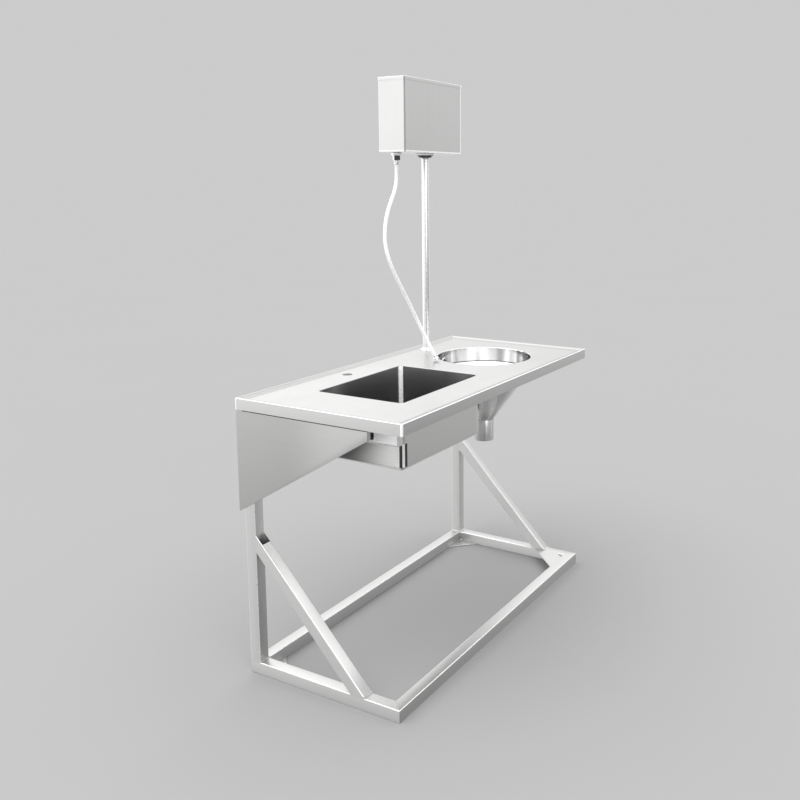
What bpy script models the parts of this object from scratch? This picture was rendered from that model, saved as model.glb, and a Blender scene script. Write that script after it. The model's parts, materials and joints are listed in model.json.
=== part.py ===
"""Stainless wash bench with a rectangular bowl, a slop hopper and a high-level flushing cistern.

Frame: origin on the floor under the middle of the worktop, +X along the length (bowl at -X, hopper
at +X), -Y towards the user, +Y towards the wall, +Z up. Metres.
"""
import math

import bmesh
import bpy
from mathutils import Vector

# ---------------------------------------------------------------- driving dimensions (metres)
GAP = 0.0003

LENGTH = 1.300
DEPTH = 0.620
RIM_TOP = 0.900
DECK_TOP = 0.893
SHEET = 0.0015
APRON_BOTTOM = 0.864
RIM_FLAT = 0.009
RIM_TOE = 0.030
CORNER_RADIUS = 0.006

TUBE = 0.040
TUBE_WALL = 0.002
FRAME_X = LENGTH / 2 - 0.004
FRAME_REAR_Y = DEPTH / 2 - 0.022
FRAME_FRONT_Y = -(DEPTH / 2 - 0.023)
ARM_BOTTOM = 0.861
ARM_TOP = DECK_TOP - SHEET - GAP
UPRIGHT_TOP = ARM_BOTTOM - GAP
TOP_RAIL_DEPTH = 0.020
TOP_RAIL_SETBACK = 0.002
ARM_OVERHANG = 0.003
BRACE_TOP_Z = 0.4365
BRACE_FOOT_Y = -0.1343
BRACE_OPENING = 0.036

PLATE_LEG = 0.078
PLATE_LEG_REAR_RIGHT = 0.094
PLATE_LEG_FRONT_RIGHT = 0.127
PLATE_SNIPE = 0.016
PLATE_SNIPE_FRONT_RIGHT = 0.027
PLATE_THICKNESS = 0.005

PANEL_X = LENGTH / 2 - 0.0018
PANEL_SHEET = 0.002
PANEL_REAR_Y = DEPTH / 2 - 0.002
PANEL_FRONT_Y = DEPTH / 2 - 0.500
PANEL_TOP = 0.8605
PANEL_REAR_BOTTOM = 0.536
PANEL_FRONT_BOTTOM = 0.8335
PANEL_FLANGE = 0.024
SCREW_PLACES = (0.200, 0.010, -0.150)
SCREW_X = PANEL_X - 0.015
SCREW_HOLE_R = 0.0028
SCREW_CLEAR = 0.002

BOWL_X = -0.194
BOWL_Y = 0.002
BOWL_LENGTH = 0.472
BOWL_DEPTH = 0.326
BOWL_WALL = 0.0025
BOWL_BOTTOM = 0.676
BOWL_CORNER = 0.015
BOWL_FILLET = 0.012
WASTE_HOLE_R = 0.027

BRACKET_WIDTH = 0.0265
BRACKET_BOTTOM = 0.7633
BRACKET_SHEET = 0.002
BRACKET_WEB = 0.0875
BRACKET_LIP = 0.009
BRACKET_REAR_INSET = 0.005
WINDOW_REAR_MARGIN = 0.015
WINDOW_TOP_MARGIN = 0.012
WINDOW_CORNER = 0.008

TAP_X = -0.182
TAP_Y = 0.235
TAP_R = 0.0175

HOPPER_X = 0.350
HOPPER_Y = -0.014
HOPPER_R = 0.179
HOPPER_BAND_BOTTOM = 0.838
HOPPER_BOTTOM = 0.648
OUTLET_R = 0.038
OUTLET_BOTTOM = 0.564

PIPE_X = 0.350
PIPE_Y = 0.248
PIPE_R = 0.014
PIPE_BORE = 0.0128
PIPE_TOP = 1.6495
PIPE_BOTTOM = 0.866
INLET_Z = 0.852
ELBOW_R = 0.012
ELBOW_WALL = 0.0012

CISTERN_LOW = Vector((0.1164, 0.1836, 1.6625))
CISTERN_HIGH = Vector((0.5200, 0.3020, 1.9305))
LID_SHEET = 0.0012
LID_SKIRT = 0.012
CISTERN_SHEET = 0.0015
WALL_PLATE = Vector((0.220, 0.002, 0.050))
WALL_PLATE_Z = 1.845
WALL_SCREW_SPACING = 0.170
WALL_SCREW_R = 0.0035
FLUSH_HOLE_R = 0.0193
SUPPLY_HOLE_R = 0.0074
BUTTON_HOLE_R = 0.0218

VALVE_FLOOR = CISTERN_LOW.z + CISTERN_SHEET + GAP
ROCKER_X = 0.316
ROCKER_ARM = 0.034
ROCKER_Z = 1.900
BUTTON_R = 0.0185

FILL_X = 0.154
FILL_Y = PIPE_Y
FILL_HEAD_Z = 1.850
FLOAT_PIVOT = Vector((0.174, FILL_Y, 1.852))
FLOAT_REACH = 0.075
FLOAT_R = 0.028
FLOAT_DROP = math.radians(45)
TAIL_LEAN = math.radians(40)
PIN_HOLE_R = 0.0024
FLOAT_PIN_HOLE_R = 0.0023

HOSE_R = 0.007
HOSE_ROUTE = [
    (0.1540, 0.2480, 1.6182), (0.1541, 0.2480, 1.5950), (0.1525, 0.2477, 1.5700),
    (0.1455, 0.2462, 1.5420), (0.1290, 0.2440, 1.5130), (0.1060, 0.2412, 1.4850),
    (0.0800, 0.2370, 1.4500), (0.0590, 0.2322, 1.4150), (0.0450, 0.2270, 1.3780),
    (0.0385, 0.2220, 1.3400), (0.0390, 0.2140, 1.3000), (0.0470, 0.2050, 1.2600),
    (0.0610, 0.1950, 1.2200), (0.0780, 0.1845, 1.1800), (0.0960, 0.1740, 1.1400),
    (0.1130, 0.1630, 1.1000), (0.1280, 0.1515, 1.0600), (0.1405, 0.1380, 1.0200),
    (0.1490, 0.1240, 0.9850), (0.1545, 0.1110, 0.9560), (0.1585, 0.1005, 0.9335),
    (0.1612, 0.0930, 0.9175),
]


# ---------------------------------------------------------------- helpers
def clear_scene():
    for old in list(bpy.data.objects):
        bpy.data.objects.remove(old, do_unlink=True)


def material(name, color, metallic, roughness):
    made = bpy.data.materials.new(name)
    made.use_nodes = True
    shader = made.node_tree.nodes["Principled BSDF"]
    shader.inputs["Base Color"].default_value = (*color, 1.0)
    shader.inputs["Metallic"].default_value = metallic
    shader.inputs["Roughness"].default_value = roughness
    return made


FINISHES = {
    "brushed": ((0.62, 0.62, 0.61), 1.0, 0.32),
    "polished": ((0.72, 0.72, 0.72), 1.0, 0.12),
    "chrome": ((0.80, 0.80, 0.80), 1.0, 0.06),
    "rubber": ((0.03, 0.03, 0.03), 0.0, 0.75),
    "plastic": ((0.86, 0.86, 0.84), 0.0, 0.45),
    "brass": ((0.75, 0.58, 0.28), 1.0, 0.28),
}


def new_object(name, bm, finish, smooth=False):
    """Turn a finished bmesh into a named object with a material of its own."""
    bmesh.ops.recalc_face_normals(bm, faces=bm.faces)
    mesh = bpy.data.meshes.new(name)
    bm.to_mesh(mesh)
    bm.free()
    made = bpy.data.objects.new(name, mesh)
    bpy.context.scene.collection.objects.link(made)
    mesh.materials.append(material(name, *FINISHES[finish]))
    if smooth:
        mesh.shade_smooth()
        mesh.set_sharp_from_angle(angle=math.radians(35))
    return made


def helper_object(name, bm):
    """A cutter or an added shape that only its Boolean uses."""
    made = new_object(name, bm, "plastic")
    made.hide_render = True
    made.display_type = "WIRE"
    return made


AXES = {"x": Vector((1, 0, 0)), "y": Vector((0, 1, 0)), "z": Vector((0, 0, 1))}


def add_loop(bm, points):
    return [bm.verts.new(point) for point in points]


def bridge(bm, first, second):
    """Quads between two closed loops with the same number of points."""
    count = len(first)
    for i in range(count):
        j = (i + 1) % count
        bm.faces.new((first[i], first[j], second[j], second[i]))


def add_box(bm, low, high):
    corners = [[bm.verts.new((x, y, z)) for x, y in
                ((low[0], low[1]), (high[0], low[1]), (high[0], high[1]), (low[0], high[1]))]
               for z in (low[2], high[2])]
    bridge(bm, corners[0], corners[1])
    bm.faces.new(corners[0])
    bm.faces.new(corners[1])


def add_prism(bm, outline, axis, low, high):
    """Extrude a closed outline along x, y or z. The outline holds the two other coordinates."""
    def place(pair, along):
        a, b = pair
        return {"x": (along, a, b), "y": (a, along, b), "z": (a, b, along)}[axis]
    bottom = add_loop(bm, [place(pair, low) for pair in outline])
    top = add_loop(bm, [place(pair, high) for pair in outline])
    bridge(bm, bottom, top)
    bm.faces.new(bottom)
    bm.faces.new(top)


def rounded_rectangle(half_x, half_y, radius, steps=4):
    """Corner arcs of a rectangle centred on the origin, anticlockwise from the +X+Y corner."""
    points = []
    for corner, (sx, sy) in enumerate(((1, 1), (-1, 1), (-1, -1), (1, -1))):
        for step in range(steps + 1):
            angle = math.pi / 2 * (corner + step / steps)
            points.append((sx * (half_x - radius) + radius * math.cos(angle),
                           sy * (half_y - radius) + radius * math.sin(angle)))
    return points


def rectangle_loop(bm, centre, half_x, half_y, radius, z, steps=4):
    outline = rounded_rectangle(half_x, half_y, radius, steps)
    return add_loop(bm, [(centre[0] + x, centre[1] + y, z) for x, y in outline])


def circle(radius, segments, centre=(0.0, 0.0)):
    return [(centre[0] + radius * math.cos(2 * math.pi * i / segments),
             centre[1] + radius * math.sin(2 * math.pi * i / segments)) for i in range(segments)]


def add_turned(bm, profile, base, axis="z", segments=32):
    """Revolve a closed (radius, height) profile about an axis through base."""
    base = Vector(base)
    along = AXES[axis] if axis in AXES else Vector(axis).normalized()
    across = Vector((0, 0, 1)) if axis in ("x", "y") else Vector((1, 0, 0))
    across = (across - along * across.dot(along)).normalized()
    other = along.cross(across)
    rings = []
    for radius, height in profile:
        if radius == 0:
            rings.append([bm.verts.new(base + along * height)])
            continue
        rings.append(add_loop(bm, [base + along * height + across * x + other * y
                                   for x, y in circle(radius, segments)]))
    for here, there in zip(rings, rings[1:] + rings[:1]):
        if len(here) == 1 and len(there) == 1:
            continue
        for i in range(segments):
            j = (i + 1) % segments
            if len(here) == 1:
                bm.faces.new((here[0], there[j], there[i]))
            elif len(there) == 1:
                bm.faces.new((here[i], here[j], there[0]))
            else:
                bm.faces.new((here[i], here[j], there[j], there[i]))


def turned(name, profile, base, finish, axis="z", segments=32):
    bm = bmesh.new()
    add_turned(bm, profile, base, axis, segments)
    return new_object(name, bm, finish, smooth=True)


def boolean(target, tool, operation="DIFFERENCE"):
    modifier = target.modifiers.new(tool.name, "BOOLEAN")
    modifier.object = tool
    modifier.operation = operation
    modifier.solver = "EXACT"


def cut_cylinder(target, label, radius, base, length, axis="z", segments=24):
    bm = bmesh.new()
    add_turned(bm, [(0, 0), (radius, 0), (radius, length), (0, length)], base, axis, segments)
    boolean(target, helper_object(f"{target.name}_{label}_cutter", bm))


def cut_prism(target, label, outline, axis, low, high):
    bm = bmesh.new()
    add_prism(bm, outline, axis, low, high)
    boolean(target, helper_object(f"{target.name}_{label}_cutter", bm))


def hex_outline(across_flats, centre):
    radius = across_flats / math.sqrt(3)
    return circle(radius, 6, centre)


def tube(name, start, end, width_axis, size, start_normal=None, end_normal=None, wall=TUBE_WALL):
    """Hollow rectangular tube from start to end on its centre line.

    width_axis is the direction of the first size. Each end is cut by the plane through its centre
    point whose normal is given; with no normal the end is square.
    """
    start, end, width_axis = Vector(start), Vector(end), Vector(width_axis).normalized()
    run = (end - start).normalized()
    height_axis = run.cross(width_axis).normalized()

    def ring(bm, point, normal, shrink):
        normal = Vector(normal) if normal else run
        loop = []
        for sign_w, sign_h in ((1, 1), (-1, 1), (-1, -1), (1, -1)):
            offset = (width_axis * sign_w * (size[0] / 2 - shrink)
                      + height_axis * sign_h * (size[1] / 2 - shrink))
            slide = -offset.dot(normal) / run.dot(normal)
            loop.append(bm.verts.new(point + offset + run * slide))
        return loop

    bm = bmesh.new()
    outer = [ring(bm, start, start_normal, 0), ring(bm, end, end_normal, 0)]
    inner = [ring(bm, start, start_normal, wall), ring(bm, end, end_normal, wall)]
    bridge(bm, outer[0], outer[1])
    bridge(bm, inner[0], inner[1])
    bridge(bm, outer[0], inner[0])
    bridge(bm, outer[1], inner[1])
    return new_object(name, bm, "brushed")


def swept_pipe(name, path, outer, inner, finish, segments=24):
    """Hollow round pipe along a path that lies in a plane of constant x."""
    bm = bmesh.new()
    side = Vector((1, 0, 0))
    rings = []
    for index, point in enumerate(path):
        before = path[max(index - 1, 0)]
        after = path[min(index + 1, len(path) - 1)]
        up = (after - before).normalized().cross(side)
        rings.append([add_loop(bm, [point + side * x + up * y for x, y in circle(radius, segments)])
                      for radius in (outer, inner)])
    for here, there in zip(rings, rings[1:]):
        bridge(bm, here[0], there[0])
        bridge(bm, here[1], there[1])
    bridge(bm, rings[0][0], rings[0][1])
    bridge(bm, rings[-1][0], rings[-1][1])
    return new_object(name, bm, finish, smooth=True)


# ---------------------------------------------------------------- welded stand
def build_floor_frame():
    """Four mitred rails that lie on the floor."""
    half = TUBE / 2
    side_x = FRAME_X - half
    rear_y = FRAME_REAR_Y - half
    front_y = FRAME_FRONT_Y + half
    inset = GAP / 2 * math.sqrt(2)
    for label, sign in (("left", -1), ("right", 1)):
        x = sign * side_x
        tube(f"floor_rail_{label}", (x, front_y + inset, half), (x, rear_y - inset, half), (1, 0, 0),
             (TUBE, TUBE), start_normal=(-sign, -1, 0), end_normal=(-sign, 1, 0))
    for label, y, sign in (("front", front_y, -1), ("rear", rear_y, 1)):
        tube(f"floor_rail_{label}", (-side_x + inset, y, half), (side_x - inset, y, half), (0, 1, 0),
             (TUBE, TUBE), start_normal=(-1, -sign, 0), end_normal=(1, -sign, 0))


def build_uprights():
    for label, sign in (("left", -1), ("right", 1)):
        x = sign * (FRAME_X - TUBE / 2)
        y = FRAME_REAR_Y - TUBE / 2
        tube(f"upright_{label}", (x, y, TUBE + GAP), (x, y, UPRIGHT_TOP), (1, 0, 0), (TUBE, TUBE))


def build_braces():
    """Diagonals from the front face of each upright down to the top of its floor rail.

    The upper wall of the left one stops short of the upright, which leaves its head open.
    """
    head_y = FRAME_REAR_Y - TUBE - GAP
    slope = math.atan2(BRACE_TOP_Z - TUBE - GAP, head_y - BRACE_FOOT_Y)
    corner = Vector((head_y, BRACE_TOP_Z + TUBE / 2 / math.cos(slope)))
    along = Vector((-math.cos(slope), -math.sin(slope)))
    outward = Vector((-math.sin(slope), math.cos(slope)))
    clear = 2 * GAP
    over, under = outward * TUBE_WALL, -outward * (TUBE_WALL + clear)
    start, end = corner - along * TUBE / 4, corner + along * BRACE_OPENING
    opening = [tuple(start + over), tuple(end + over), tuple(end + under), tuple(start + under)]
    half_opening = TUBE / 2 - TUBE_WALL + GAP
    for label, sign in (("left", -1), ("right", 1)):
        x = sign * (FRAME_X - TUBE / 2)
        brace = tube(f"brace_{label}", (x, head_y, BRACE_TOP_Z), (x, BRACE_FOOT_Y, TUBE + GAP),
                     (1, 0, 0), (TUBE, TUBE), start_normal=(0, 1, 0), end_normal=(0, 0, 1))
        if label == "left":
            cut_prism(brace, "opening", opening, "x", x - half_opening, x + half_opening)


def build_top_frame():
    """Two arms that carry the worktop and two rails between them."""
    height = ARM_TOP - ARM_BOTTOM
    z = (ARM_TOP + ARM_BOTTOM) / 2
    arm_x = FRAME_X - TUBE / 2
    arm_front = FRAME_FRONT_Y - ARM_OVERHANG
    for label, sign in (("left", -1), ("right", 1)):
        arm = tube(f"top_arm_{label}", (sign * arm_x, arm_front, z), (sign * arm_x, FRAME_REAR_Y, z),
                   (1, 0, 0), (TUBE, height))
        for index, y in enumerate(SCREW_PLACES):
            cut_cylinder(arm, f"screw_{index}", SCREW_HOLE_R,
                         (sign * SCREW_X, y, ARM_BOTTOM - SCREW_CLEAR),
                         TUBE_WALL + 2 * SCREW_CLEAR, segments=12)
    rail_end = FRAME_X - TUBE - GAP
    front_y = arm_front + TUBE / 2
    tube("top_rail_front", (-rail_end, front_y, z), (rail_end, front_y, z), (0, 1, 0), (TUBE, height))
    rear_y = FRAME_REAR_Y - TOP_RAIL_SETBACK
    tube("top_rail_rear", (-rail_end, rear_y, z), (rail_end, rear_y, z), (0, 1, 0),
         (TOP_RAIL_DEPTH, height), wall=SHEET)


def build_corner_plates():
    """Triangular plates in the corners of the floor frame; the front right one is level with its top."""
    inner_x = FRAME_X - TUBE - GAP
    rear = FRAME_REAR_Y - TUBE - GAP
    front = FRAME_FRONT_Y + TUBE + GAP
    raised = TUBE - PLATE_THICKNESS
    corners = (
        ("rear_left", -1, -1, rear, PLATE_LEG, PLATE_SNIPE, 0.0),
        ("front_left", -1, 1, front, PLATE_LEG, PLATE_SNIPE, 0.0),
        ("rear_right", 1, -1, rear, PLATE_LEG_REAR_RIGHT, PLATE_SNIPE, 0.0),
        ("front_right", 1, 1, front, PLATE_LEG_FRONT_RIGHT, PLATE_SNIPE_FRONT_RIGHT, raised),
    )
    for label, side, inward, y, leg, snipe, z in corners:
        outline = [(side * (inner_x - snipe), y), (side * inner_x, y + inward * snipe),
                   (side * inner_x, y + inward * leg), (side * (inner_x - leg), y)]
        bm = bmesh.new()
        add_prism(bm, outline, "z", z, z + PLATE_THICKNESS)
        new_object(f"corner_plate_{label}", bm, "brushed")


# ---------------------------------------------------------------- worktop group
def build_worktop():
    """Pressed tray: apron, raised rim, sloped toe and deck, with its four cut-outs."""
    def loop(inset, z):
        radius = max(CORNER_RADIUS - inset, 0.002)
        return rectangle_loop(bm, (0, 0), LENGTH / 2 - inset, DEPTH / 2 - inset, radius, z, 3)

    bm = bmesh.new()
    edge = 0.001
    outer = [loop(0, APRON_BOTTOM), loop(0, RIM_TOP - edge), loop(edge, RIM_TOP),
             loop(RIM_FLAT, RIM_TOP), loop(RIM_TOE, DECK_TOP)]
    inner = [loop(SHEET, APRON_BOTTOM), loop(SHEET, RIM_TOP - SHEET), loop(RIM_FLAT, RIM_TOP - SHEET),
             loop(RIM_TOE, DECK_TOP - SHEET)]
    for chain in (outer, inner):
        for first, second in zip(chain, chain[1:]):
            bridge(bm, first, second)
        bm.faces.new(chain[-1])
    bridge(bm, outer[0], inner[0])
    worktop = new_object("worktop", bm, "brushed")

    low, depth = DECK_TOP - 0.01, 0.02
    bowl = [(BOWL_X + x, BOWL_Y + y)
            for x, y in rounded_rectangle(BOWL_LENGTH / 2, BOWL_DEPTH / 2, BOWL_CORNER, 4)]
    cut_prism(worktop, "bowl", bowl, "z", low, low + depth)
    cut_cylinder(worktop, "hopper", HOPPER_R, (HOPPER_X, HOPPER_Y, low), depth, segments=64)
    cut_cylinder(worktop, "tap", TAP_R, (TAP_X, TAP_Y, low), depth, segments=24)
    cut_cylinder(worktop, "pipe", PIPE_R + GAP, (PIPE_X, PIPE_Y, low), depth, segments=24)


def build_bowl():
    """Open box with rounded corners, welded under the edge of its cut-out."""
    bm = bmesh.new()
    centre = (BOWL_X, BOWL_Y)

    def chain(grow, floor, fillet):
        half_x, half_y = BOWL_LENGTH / 2 + grow, BOWL_DEPTH / 2 + grow
        radius = BOWL_CORNER + grow
        loops = [rectangle_loop(bm, centre, half_x, half_y, radius, ARM_TOP)]
        steps = 4
        for step in range(steps + 1):
            angle = math.pi / 2 * step / steps
            inset = fillet * (1 - math.cos(angle))
            z = floor + fillet * (1 - math.sin(angle))
            loops.append(rectangle_loop(bm, centre, half_x - inset, half_y - inset,
                                        max(radius - inset, 0.004), z))
        for first, second in zip(loops, loops[1:]):
            bridge(bm, first, second)
        bm.faces.new(loops[-1])
        return loops[0]

    outer = chain(BOWL_WALL, BOWL_BOTTOM, BOWL_FILLET + BOWL_WALL)
    inner = chain(0, BOWL_BOTTOM + BOWL_WALL, BOWL_FILLET)
    bridge(bm, outer, inner)
    bowl = new_object("sink_bowl", bm, "brushed")
    cut_cylinder(bowl, "waste", WASTE_HOLE_R, (BOWL_X, BOWL_Y, BOWL_BOTTOM - 0.01), 0.03)


def build_bowl_brackets():
    """Folded channels between the deck and the bowl's end walls, each with a long window."""
    rear_y = BOWL_Y + BOWL_DEPTH / 2 - BRACKET_REAR_INSET
    front_y = BOWL_Y - BOWL_DEPTH / 2 - BOWL_WALL
    window_rear = rear_y - WINDOW_REAR_MARGIN
    window_front = front_y + BRACKET_WEB
    window_low = BRACKET_BOTTOM + BRACKET_LIP
    window_high = ARM_TOP - WINDOW_TOP_MARGIN
    for label, sign in (("left", -1), ("right", 1)):
        wall_x = BOWL_X + sign * (BOWL_LENGTH / 2 + BOWL_WALL + GAP)
        web_x = wall_x + sign * BRACKET_WIDTH
        bm = bmesh.new()
        inside = web_x - sign * BRACKET_SHEET
        add_prism(bm, [(wall_x, front_y), (web_x, front_y), (web_x, rear_y), (wall_x, rear_y),
                       (wall_x, rear_y - BRACKET_SHEET), (inside, rear_y - BRACKET_SHEET),
                       (inside, front_y + BRACKET_SHEET), (wall_x, front_y + BRACKET_SHEET)],
                  "z", BRACKET_BOTTOM, ARM_TOP)
        bracket = new_object(f"bowl_bracket_{label}", bm, "brushed")
        middle_y, middle_z = (window_rear + window_front) / 2, (window_low + window_high) / 2
        window = [(middle_y + y, middle_z + z) for y, z in
                  rounded_rectangle((window_rear - window_front) / 2, (window_high - window_low) / 2,
                                    WINDOW_CORNER, 3)]
        reach = 3 * BRACKET_SHEET
        cut_prism(bracket, "window", window, "x", web_x - reach, web_x + reach)


def build_side_panels():
    """Gusset panels under the ends of the worktop, with a top and a front flange."""
    for label, sign in (("left", -1), ("right", 1)):
        outer = sign * PANEL_X
        inner = sign * (PANEL_X - PANEL_SHEET)
        flange = sign * (PANEL_X - PANEL_FLANGE)
        outline = [(PANEL_REAR_Y, PANEL_REAR_BOTTOM), (PANEL_REAR_Y, PANEL_TOP),
                   (PANEL_FRONT_Y, PANEL_TOP), (PANEL_FRONT_Y, PANEL_FRONT_BOTTOM)]
        bm = bmesh.new()
        add_prism(bm, outline, "x", min(outer, inner), max(outer, inner))
        panel = new_object(f"side_panel_{label}", bm, "brushed")
        upright_front = FRAME_REAR_Y - TUBE - 0.002
        low_x, high_x = sorted((outer - sign * 0.001, flange))
        pieces = (
            ("top", (low_x, PANEL_FRONT_Y, PANEL_TOP - PANEL_SHEET), (high_x, upright_front, PANEL_TOP)),
            ("front", (low_x, PANEL_FRONT_Y, PANEL_FRONT_BOTTOM),
             (high_x, PANEL_FRONT_Y + PANEL_SHEET, PANEL_TOP)),
        )
        for part, low, high in pieces:
            bm = bmesh.new()
            add_box(bm, low, high)
            boolean(panel, helper_object(f"panel_{label}_{part}_flange", bm), "UNION")
        for index, y in enumerate(SCREW_PLACES):
            cut_cylinder(panel, f"screw_{index}", SCREW_HOLE_R,
                         (sign * SCREW_X, y, PANEL_TOP - PANEL_SHEET - SCREW_CLEAR),
                         PANEL_SHEET + 3 * SCREW_CLEAR, segments=12)


def build_panel_screws():
    """Screws that hold the panels' top flanges up against the arms."""
    head_top = PANEL_TOP - PANEL_SHEET - GAP
    profile = [(0, -0.003), (0.0045, -0.003), (0.0045, 0), (0.0025, 0), (0.0025, 0.006), (0, 0.006)]
    for label, sign in (("left", -1), ("right", 1)):
        for index, y in enumerate(SCREW_PLACES):
            turned(f"panel_screw_{label}_{index + 1}", profile, (sign * SCREW_X, y, head_top),
                   "chrome", segments=12)


# ---------------------------------------------------------------- bowl waste
def build_waste():
    floor = BOWL_BOTTOM + BOWL_WALL + GAP
    base = (BOWL_X, BOWL_Y, floor)
    turned("waste_flange", [(0.022, 0.0), (0.0225, 0.002), (0.040, 0.002), (0.0405, 0.001),
                            (0.040, 0.0), (0.025, 0.0), (0.025, -0.039), (0.022, -0.039)],
           base, "chrome")
    under = BOWL_BOTTOM - GAP
    turned("waste_seal", [(0.0258, 0), (0.038, 0), (0.038, -0.003), (0.0258, -0.003)],
           (BOWL_X, BOWL_Y, under), "rubber")
    nut_top = under - 0.003 - GAP
    bm = bmesh.new()
    add_prism(bm, hex_outline(0.070, (BOWL_X, BOWL_Y)), "z", nut_top - 0.011, nut_top)
    nut = new_object("waste_nut", bm, "plastic")
    cut_cylinder(nut, "bore", 0.0253, (BOWL_X, BOWL_Y, nut_top - 0.02), 0.03, segments=32)
    turned("waste_body", [(0.0253, 0.655), (0.030, 0.655), (0.030, 0.632), (0.019, 0.626),
                          (0.019, 0.600), (0.0165, 0.600), (0.0165, 0.628), (0.022, 0.634),
                          (0.0253, 0.634)], (BOWL_X, BOWL_Y, 0), "plastic")
    strainer = turned("waste_strainer", [
        (0, 0.016), (0.0065, 0.015), (0.0065, 0.013), (0.0035, 0.010), (0.005, 0.0045),
        (0.034, 0.0040), (0.034, 0.0024), (0.0205, 0.0024), (0.0205, -0.012), (0.019, -0.012),
        (0.019, 0.0022), (0, 0.0022)], base, "chrome")
    for index in range(8):
        angle = 2 * math.pi * index / 8
        place = (BOWL_X + 0.013 * math.cos(angle), BOWL_Y + 0.013 * math.sin(angle), floor - 0.005)
        cut_cylinder(strainer, f"hole_{index}", 0.003, place, 0.02, segments=10)


# ---------------------------------------------------------------- slop hopper
def build_hopper():
    """Rolled band under the deck, then a spun cone down to the outlet; the flush inlet is at the rear."""
    wall = SHEET
    centre = (HOPPER_X, HOPPER_Y, 0)
    band_bottom = HOPPER_BAND_BOTTOM
    band = turned("hopper_band", [
        (HOPPER_R, ARM_TOP), (HOPPER_R + wall, ARM_TOP), (HOPPER_R + wall, band_bottom),
        (HOPPER_R, band_bottom)], centre, "polished", segments=64)
    cut_cylinder(band, "inlet", ELBOW_R + GAP, (HOPPER_X, HOPPER_Y + HOPPER_R - 0.012, INLET_Z),
                 0.03, axis="y")
    seam = band_bottom - GAP
    turned("hopper_cone", [
        (HOPPER_R, seam), (HOPPER_R + wall, seam), (HOPPER_R + wall, seam - wall),
        (OUTLET_R, HOPPER_BOTTOM), (OUTLET_R - wall, HOPPER_BOTTOM)], centre, "polished", segments=64)
    turned("hopper_outlet", [(OUTLET_R - wall, HOPPER_BOTTOM - GAP), (OUTLET_R, HOPPER_BOTTOM - GAP),
                             (OUTLET_R, OUTLET_BOTTOM), (OUTLET_R - wall, OUTLET_BOTTOM)],
           (HOPPER_X, HOPPER_Y, 0), "polished", segments=48)


def build_flush_line():
    """Pipe from the cistern to the worktop, its fittings and the hidden elbow into the hopper."""
    turned("flush_pipe", [(PIPE_BORE, PIPE_TOP), (PIPE_R, PIPE_TOP), (PIPE_R, PIPE_BOTTOM),
                          (PIPE_BORE, PIPE_BOTTOM)], (PIPE_X, PIPE_Y, 0), "polished", segments=24)
    turned("pipe_rosette", [(PIPE_R + GAP, 0.009), (0.018, 0.009), (0.026, 0.003), (0.027, 0.0),
                            (PIPE_R + GAP, 0.0)], (PIPE_X, PIPE_Y, DECK_TOP + GAP), "polished")
    start = PIPE_BOTTOM - GAP
    bend = start - INLET_Z
    path = [Vector((PIPE_X, PIPE_Y, start))]
    for step in range(1, 7):
        angle = math.pi / 2 * step / 6
        path.append(Vector((PIPE_X, PIPE_Y - bend * (1 - math.cos(angle)),
                            start - bend * math.sin(angle))))
    path.append(Vector((PIPE_X, HOPPER_Y + HOPPER_R + 0.0004, INLET_Z)))
    swept_pipe("flush_elbow", path, ELBOW_R, ELBOW_R - ELBOW_WALL, "polished")
    top = CISTERN_LOW.z - GAP
    turned("flush_nut", [(FLUSH_HOLE_R, top), (0.0375, top), (0.0375, top - 0.004), (0.0235, top - 0.015),
                         (PIPE_R + GAP, top - 0.015), (PIPE_R + GAP, PIPE_TOP + 0.0002),
                         (FLUSH_HOLE_R, PIPE_TOP + 0.0002)], (PIPE_X, PIPE_Y, 0), "chrome")


# ---------------------------------------------------------------- cistern
def build_cistern():
    centre = ((CISTERN_LOW.x + CISTERN_HIGH.x) / 2, (CISTERN_LOW.y + CISTERN_HIGH.y) / 2)
    half_x = (CISTERN_HIGH.x - CISTERN_LOW.x) / 2
    half_y = (CISTERN_HIGH.y - CISTERN_LOW.y) / 2
    inset = LID_SHEET + GAP
    top = CISTERN_HIGH.z - LID_SHEET - GAP

    def loop(offset, z, radius):
        return rectangle_loop(bm, centre, half_x - offset, half_y - offset, radius, z, 2)

    bm = bmesh.new()
    outer = [loop(inset, top, 0.003), loop(inset, CISTERN_LOW.z, 0.003)]
    inner = [loop(inset + CISTERN_SHEET, top, 0.0015),
             loop(inset + CISTERN_SHEET, CISTERN_LOW.z + CISTERN_SHEET, 0.0015)]
    for chain in (outer, inner):
        bridge(bm, chain[0], chain[1])
        bm.faces.new(chain[1])
    bridge(bm, outer[0], inner[0])
    body = new_object("cistern_body", bm, "brushed")
    below = CISTERN_LOW.z - 0.005
    cut_cylinder(body, "flush", FLUSH_HOLE_R, (PIPE_X, PIPE_Y, below), 0.012)
    cut_cylinder(body, "supply", SUPPLY_HOLE_R, (FILL_X, FILL_Y, below), 0.012, segments=20)
    build_wall_plate(centre[0])

    bm = bmesh.new()
    outer = [loop(0, CISTERN_HIGH.z - LID_SKIRT, 0.0035), loop(0, CISTERN_HIGH.z - 0.001, 0.0035),
             loop(0.001, CISTERN_HIGH.z, 0.0030)]
    inner = [loop(LID_SHEET, CISTERN_HIGH.z - LID_SKIRT, 0.0025),
             loop(LID_SHEET, CISTERN_HIGH.z - LID_SHEET, 0.0025)]
    for chain in (outer, inner):
        for first, second in zip(chain, chain[1:]):
            bridge(bm, first, second)
        bm.faces.new(chain[-1])
    bridge(bm, outer[0], inner[0])
    lid = new_object("cistern_lid", bm, "brushed")
    button_x = ROCKER_X - ROCKER_ARM
    cut_cylinder(lid, "button", BUTTON_HOLE_R, (button_x, PIPE_Y, CISTERN_HIGH.z - 0.01), 0.02,
                 segments=32)


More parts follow.
